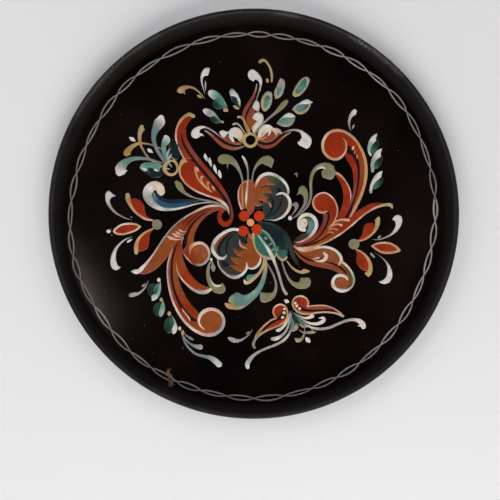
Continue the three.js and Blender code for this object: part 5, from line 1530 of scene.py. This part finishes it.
class Nodes:
    """A material's node tree, with short calls to add and join nodes."""

    MIX_FACTOR, MIX_A, MIX_B, MIXED = 0, 6, 7, 2  # sockets of a colour mix

    def __init__(self, name):
        self.material = bpy.data.materials.new(name)
        self.material.use_nodes = True
        self.tree = self.material.node_tree
        self.shader = self.tree.nodes["Principled BSDF"]

    def add(self, kind, inputs=None, **settings):
        """A node with its settings, its inputs linked to sockets or set to values."""
        node = self.tree.nodes.new("ShaderNode" + kind)
        for key, value in settings.items():
            setattr(node, key, value)
        for key, value in (inputs or {}).items():
            if isinstance(value, bpy.types.NodeSocket):
                self.tree.links.new(value, node.inputs[key])
            else:
                node.inputs[key].default_value = value
        return node

    def noise(self, scale, detail=3, roughness=0.55, vector=None):
        """Noise from 0 to 1, over the object unless a vector is given."""
        place = vector or self.add("TexCoord").outputs["Object"]
        inputs = {"Vector": place, "Scale": scale, "Detail": detail, "Roughness": roughness}
        return self.add("TexNoise", inputs).outputs["Fac"]

    def spread(self, value, low, high, to_low=0.0, to_high=1.0):
        """The value from low..high as to_low..to_high, held at the ends."""
        inputs = {"Value": value, "From Min": low, "From Max": high, "To Min": to_low, "To Max": to_high}
        return self.add("MapRange", inputs).outputs["Result"]

    def math(self, operation, a, b):
        """Two values in one operation."""
        return self.add("Math", {0: a, 1: b}, operation=operation).outputs[0]

    def mix(self, factor, a, b, blend="MIX"):
        """Two colours mixed or, with another blend, laid over each other."""
        inputs = {self.MIX_FACTOR: factor, self.MIX_A: a, self.MIX_B: b}
        return self.add("Mix", inputs, data_type="RGBA", blend_type=blend).outputs[self.MIXED]

    def bump(self, height, strength, distance):
        """A normal for a height, the distance in millimetres."""
        inputs = {"Height": height, "Strength": strength, "Distance": distance * MM}
        return self.add("Bump", inputs).outputs["Normal"]

    def finish(self, links, **constants):
        """The material, its shader's sockets linked or set; an underscore in a name is a space."""
        for socket, value in links.items():
            self.tree.links.new(value, self.shader.inputs[socket])
        for socket, value in constants.items():
            self.shader.inputs[socket.replace("_", " ")].default_value = value
        return self.material


def rgba(paint, gain=1.0):
    """A named paint for a socket, lighter or darker by the gain."""
    return tuple(linear(paint) * gain) + (1,)


def oil_paint():
    """Hand-laid oil colour: bristle streaks along each stroke, uneven load, under thin varnish."""
    n = Nodes("oil_paint")
    colour = n.add("Attribute", attribute_name="Paint").outputs["Color"]
    grain = n.add("UVMap", uv_map="Grain").outputs["UV"]
    drawn_out = n.add("Mapping", {"Vector": grain, "Scale": (0.14, 1.5, 1)}).outputs["Vector"]
    bristles = n.noise(1.0, 3, 0.6, drawn_out)
    load = n.noise(260, 3)
    streaks = n.spread(bristles, 0.3, 0.7, 0.68, 1.04)
    uneven = n.spread(load, 0.32, 0.7, 0.84, 1.06)
    tone = n.math("MULTIPLY", streaks, uneven)
    grey = n.add("CombineColor", {0: tone, 1: tone, 2: tone}).outputs[0]
    painted = n.mix(1.0, colour, grey, "MULTIPLY")
    rough = n.spread(bristles, 0.3, 0.7, 0.5, 0.36)
    return n.finish(
        {"Base Color": painted, "Roughness": rough, "Normal": n.bump(bristles, 0.35, 0.06)},
        Specular_IOR_Level=0.22, Coat_Weight=0.2, Coat_Roughness=0.12,
    )


def field_enamel():
    """Brown-black japanned ground under clear varnish, with haze, dust and fine orange peel."""
    n = Nodes("field_enamel")
    cloud = n.noise(14, 4)
    dust = n.noise(1500, 1, 0.5)
    ground = n.mix(n.spread(cloud, 0.38, 0.66), rgba("ground", 0.1), rgba("ground", 0.5))
    speck = n.spread(dust, 0.79, 0.83, 0.0, 0.35)
    colour = n.mix(speck, ground, rgba("ash", 0.6))
    peel = n.math("ADD", n.noise(220, 2), n.math("MULTIPLY", n.noise(1300, 2), 0.25))
    return n.finish(
        {"Base Color": colour, "Roughness": n.spread(cloud, 0.3, 0.7, 0.13, 0.2),
         "Normal": n.bump(peel, 0.16, 0.05)},
        Specular_IOR_Level=0.4, Coat_Weight=0.4, Coat_Roughness=0.11,
    )


def rim_enamel():
    """The wall and the roll: satin black, dull towards the cove; a painted sheen lightens it towards the
    crest, which also has chips and a painted sheen band.
    """
    n = Nodes("rim_enamel")
    place = n.add("TexCoord").outputs["Object"]
    height = n.add("SeparateXYZ", {0: place}).outputs[2]
    rub = n.noise(42, 5, 0.65)
    fine = n.noise(1150, 3, 0.6)
    wear_and_sheen = n.add("Attribute", attribute_name="WearAndSheen").outputs["Fac"]
    reach = n.add("VectorMath", {0: place}, operation="LENGTH").outputs["Value"]
    outward = n.spread(reach, (TRAY_RADIUS - 1.8) * MM, (TRAY_RADIUS + 0.2) * MM, 1, 0.2)
    crest = n.math("MULTIPLY", n.spread(height, 2 * MM, TRAY_HEIGHT * MM), outward)
    # painted sheen: lighter towards the crest, patchy with the rub noise
    rub_and_sheen = n.math("MULTIPLY", crest, n.spread(rub, 0.3, 0.7, 0.4))
    satin = n.mix(rub_and_sheen, rgba("ground", 0.2), rgba("soot", 0.75))
    # chips from the fine noise and a broad painted sheen band from the rub noise, where the pan's
    # wear-and-sheen attribute allows
    bare = n.math("MAXIMUM", n.spread(fine, 0.56, 0.64), n.spread(rub, 0.3, 0.7, 0, 0.25))
    colour = n.mix(n.math("MULTIPLY", wear_and_sheen, bare), satin, rgba("ash", 0.95))
    grime = n.spread(height, 1.5 * MM, 0.8 * TRAY_HEIGHT * MM, 1, 0.45)
    rough = n.math("MAXIMUM", grime, n.spread(rub, 0.3, 0.7, 0.46, 0.62))
    return n.finish(
        {"Base Color": colour, "Roughness": rough, "Normal": n.bump(fine, 0.2, 0.05)},
        Specular_IOR_Level=0.2,
    )


def back_enamel():
    """Thin satin enamel of the underside, scuffed by tables."""
    n = Nodes("back_enamel")
    place = n.add("TexCoord").outputs["Object"]
    drawn_out = {"Vector": place, "Rotation": (0, 0, 0.6), "Scale": (1, 14, 1)}
    scuffs = n.noise(60, 4, 0.7, n.add("Mapping", drawn_out).outputs["Vector"])
    cloud = n.noise(18, 4)
    base = n.mix(n.spread(cloud, 0.35, 0.68), rgba("ground", 0.5), rgba("soot", 0.8))
    colour = n.mix(n.spread(scuffs, 0.55, 0.72, 0.0, 0.7), base, rgba("ash", 0.5))
    return n.finish(
        {"Base Color": colour, "Roughness": n.spread(scuffs, 0.3, 0.75, 0.36, 0.6),
         "Normal": n.bump(cloud, 0.1, 0.1)},
        Specular_IOR_Level=0.5,
    )


def wire_steel():
    """Drawn steel wire, dull, with brown bloom where the enamel never reached."""
    n = Nodes("drawn_steel")
    bloom = n.noise(160, 4, 0.6)
    steel, brown = (0.32, 0.31, 0.3, 1), (0.13, 0.07, 0.04, 1)
    colour = n.mix(n.spread(bloom, 0.42, 0.66), steel, brown)
    return n.finish(
        {"Base Color": colour, "Roughness": n.spread(bloom, 0.35, 0.7, 0.35, 0.75)},
        Metallic=0.9,
    )


def floor_paper():
    """A pale, matt sheet with a slight tooth."""
    n = Nodes("floor_paper")
    tooth = n.noise(900, 3)
    cloud = n.noise(3, 2)
    greyer, paler = (0.87, 0.87, 0.885, 1), (0.9, 0.9, 0.91, 1)
    colour = n.mix(n.spread(cloud, 0.3, 0.7), greyer, paler)
    return n.finish({"Base Color": colour, "Normal": n.bump(tooth, 0.1, 0.1)}, Roughness=0.85)


# ---------------------------------------------------------------- stage

FLOOR_HALF = 1.0  # metres
FLOOR_DROP = 0.05 * MM  # the floor lies a hair under the pan


def stage():
    """The floor."""
    mesh = bpy.data.meshes.new("floor")
    corners = [
        (x * FLOOR_HALF, y * FLOOR_HALF, -FLOOR_DROP) for x, y in ((-1, -1), (1, -1), (1, 1), (-1, 1))
    ]
    mesh.from_pydata(corners, [], [(0, 1, 2, 3)])
    mesh.materials.append(floor_paper())
    floor = bpy.data.objects.new("floor", mesh)
    bpy.context.scene.collection.objects.link(floor)


def soft_light(name, place, aim, size, power, colour=(1, 1, 1), roll=0):
    """An elliptical light at a place, turned to its aim and rolled by so many degrees."""
    light = bpy.data.lights.new(name, "AREA")
    light.shape = "ELLIPSE"
    light.size, light.size_y = size
    light.energy = power
    light.color = colour
    lamp = bpy.data.objects.new(name, light)
    lamp.location = place
    facing = (Vector(aim) - Vector(place)).to_track_quat("-Z", "Y")
    lamp.rotation_euler = (facing @ Quaternion((0, 0, 1), math.radians(roll))).to_euler()
    bpy.context.scene.collection.objects.link(lamp)


def lights():
    """Broad lights low on all sides: the mirror direction over the tray stays dark, so the field does.

    Only the small one of the glow is mirrored, as a soft streak at the lower left.
    """
    middle = (0, 0, 0)
    soft_light("light_left", (-1.15, 0.25, 0.85), middle, (1.0, 1.0), 6.5)
    soft_light("light_right", (1.15, 0.2, 0.85), middle, (1.0, 1.0), 5.5)
    soft_light("light_near", (0.1, -1.2, 0.7), middle, (1.4, 0.8), 16, (1, 0.98, 0.97))
    soft_light("light_far", (-0.1, 1.2, 0.95), middle, (1.4, 0.8), 3.5, (0.96, 0.98, 1))
    lower_left = (-0.1, -0.05, 0)
    soft_light("light_glow", (-0.435, -0.11, 1.0), lower_left, (0.26, 0.035), 0.145, (1, 0.85, 0.73), 18)
    bpy.context.scene.world = studio_sky()
    bpy.context.scene.view_settings.view_transform = "Standard"


def studio_sky():
    """Pale round the horizon and dark overhead, where the camera sees it mirrored in the varnish."""
    world = bpy.data.worlds.new("studio")
    world.use_nodes = True
    tree = world.node_tree
    way = tree.nodes.new("ShaderNodeTexCoord").outputs["Generated"]
    split = tree.nodes.new("ShaderNodeSeparateXYZ")
    tree.links.new(way, split.inputs[0])
    fade = tree.nodes.new("ShaderNodeMapRange")
    for socket, value in (("From Min", 0.12), ("From Max", 0.6), ("To Min", 0.62), ("To Max", 0.02)):
        fade.inputs[socket].default_value = value
    tree.links.new(split.outputs[2], fade.inputs["Value"])
    background = tree.nodes["Background"]
    background.inputs["Color"].default_value = (0.95, 0.96, 1, 1)
    tree.links.new(fade.outputs["Result"], background.inputs["Strength"])
    return world


def camera():
    """Nearly straight down over the tray, as in the picture."""
    lens = bpy.data.cameras.new("camera")
    lens.lens = 40.3
    lens.sensor_width = 36
    lens.clip_start = 0.01
    eye = bpy.data.objects.new("camera", lens)
    eye.location = (-0.0024, -0.0290, 0.3709)
    eye.rotation_euler = (math.radians(0.78), 0, 0)
    bpy.context.scene.collection.objects.link(eye)
    bpy.context.scene.camera = eye


# ---------------------------------------------------------------- making it

def main():
    """The stage, the pan, its wire and the painting, in the order in which it was painted."""
    camera()
    stage()
    lights()
    pan(field_enamel(), rim_enamel(), back_enamel())
    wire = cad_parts[WIRE]
    wire.data.materials.clear()
    wire.data.materials.append(wire_steel())
    oil = oil_paint()
    pieces = dict(MOTIFS)
    pieces["braid_inner_line"] = lambda: braid_strokes(0)
    pieces["braid_outer_line"] = lambda: braid_strokes(1)
    pieces["border_chip"] = chip_and_specks
    for name, strokes in pieces.items():
        paint = Paint()
        for stroke in strokes():
            paint.add(stroke)
        paint.build(name, oil)


main()
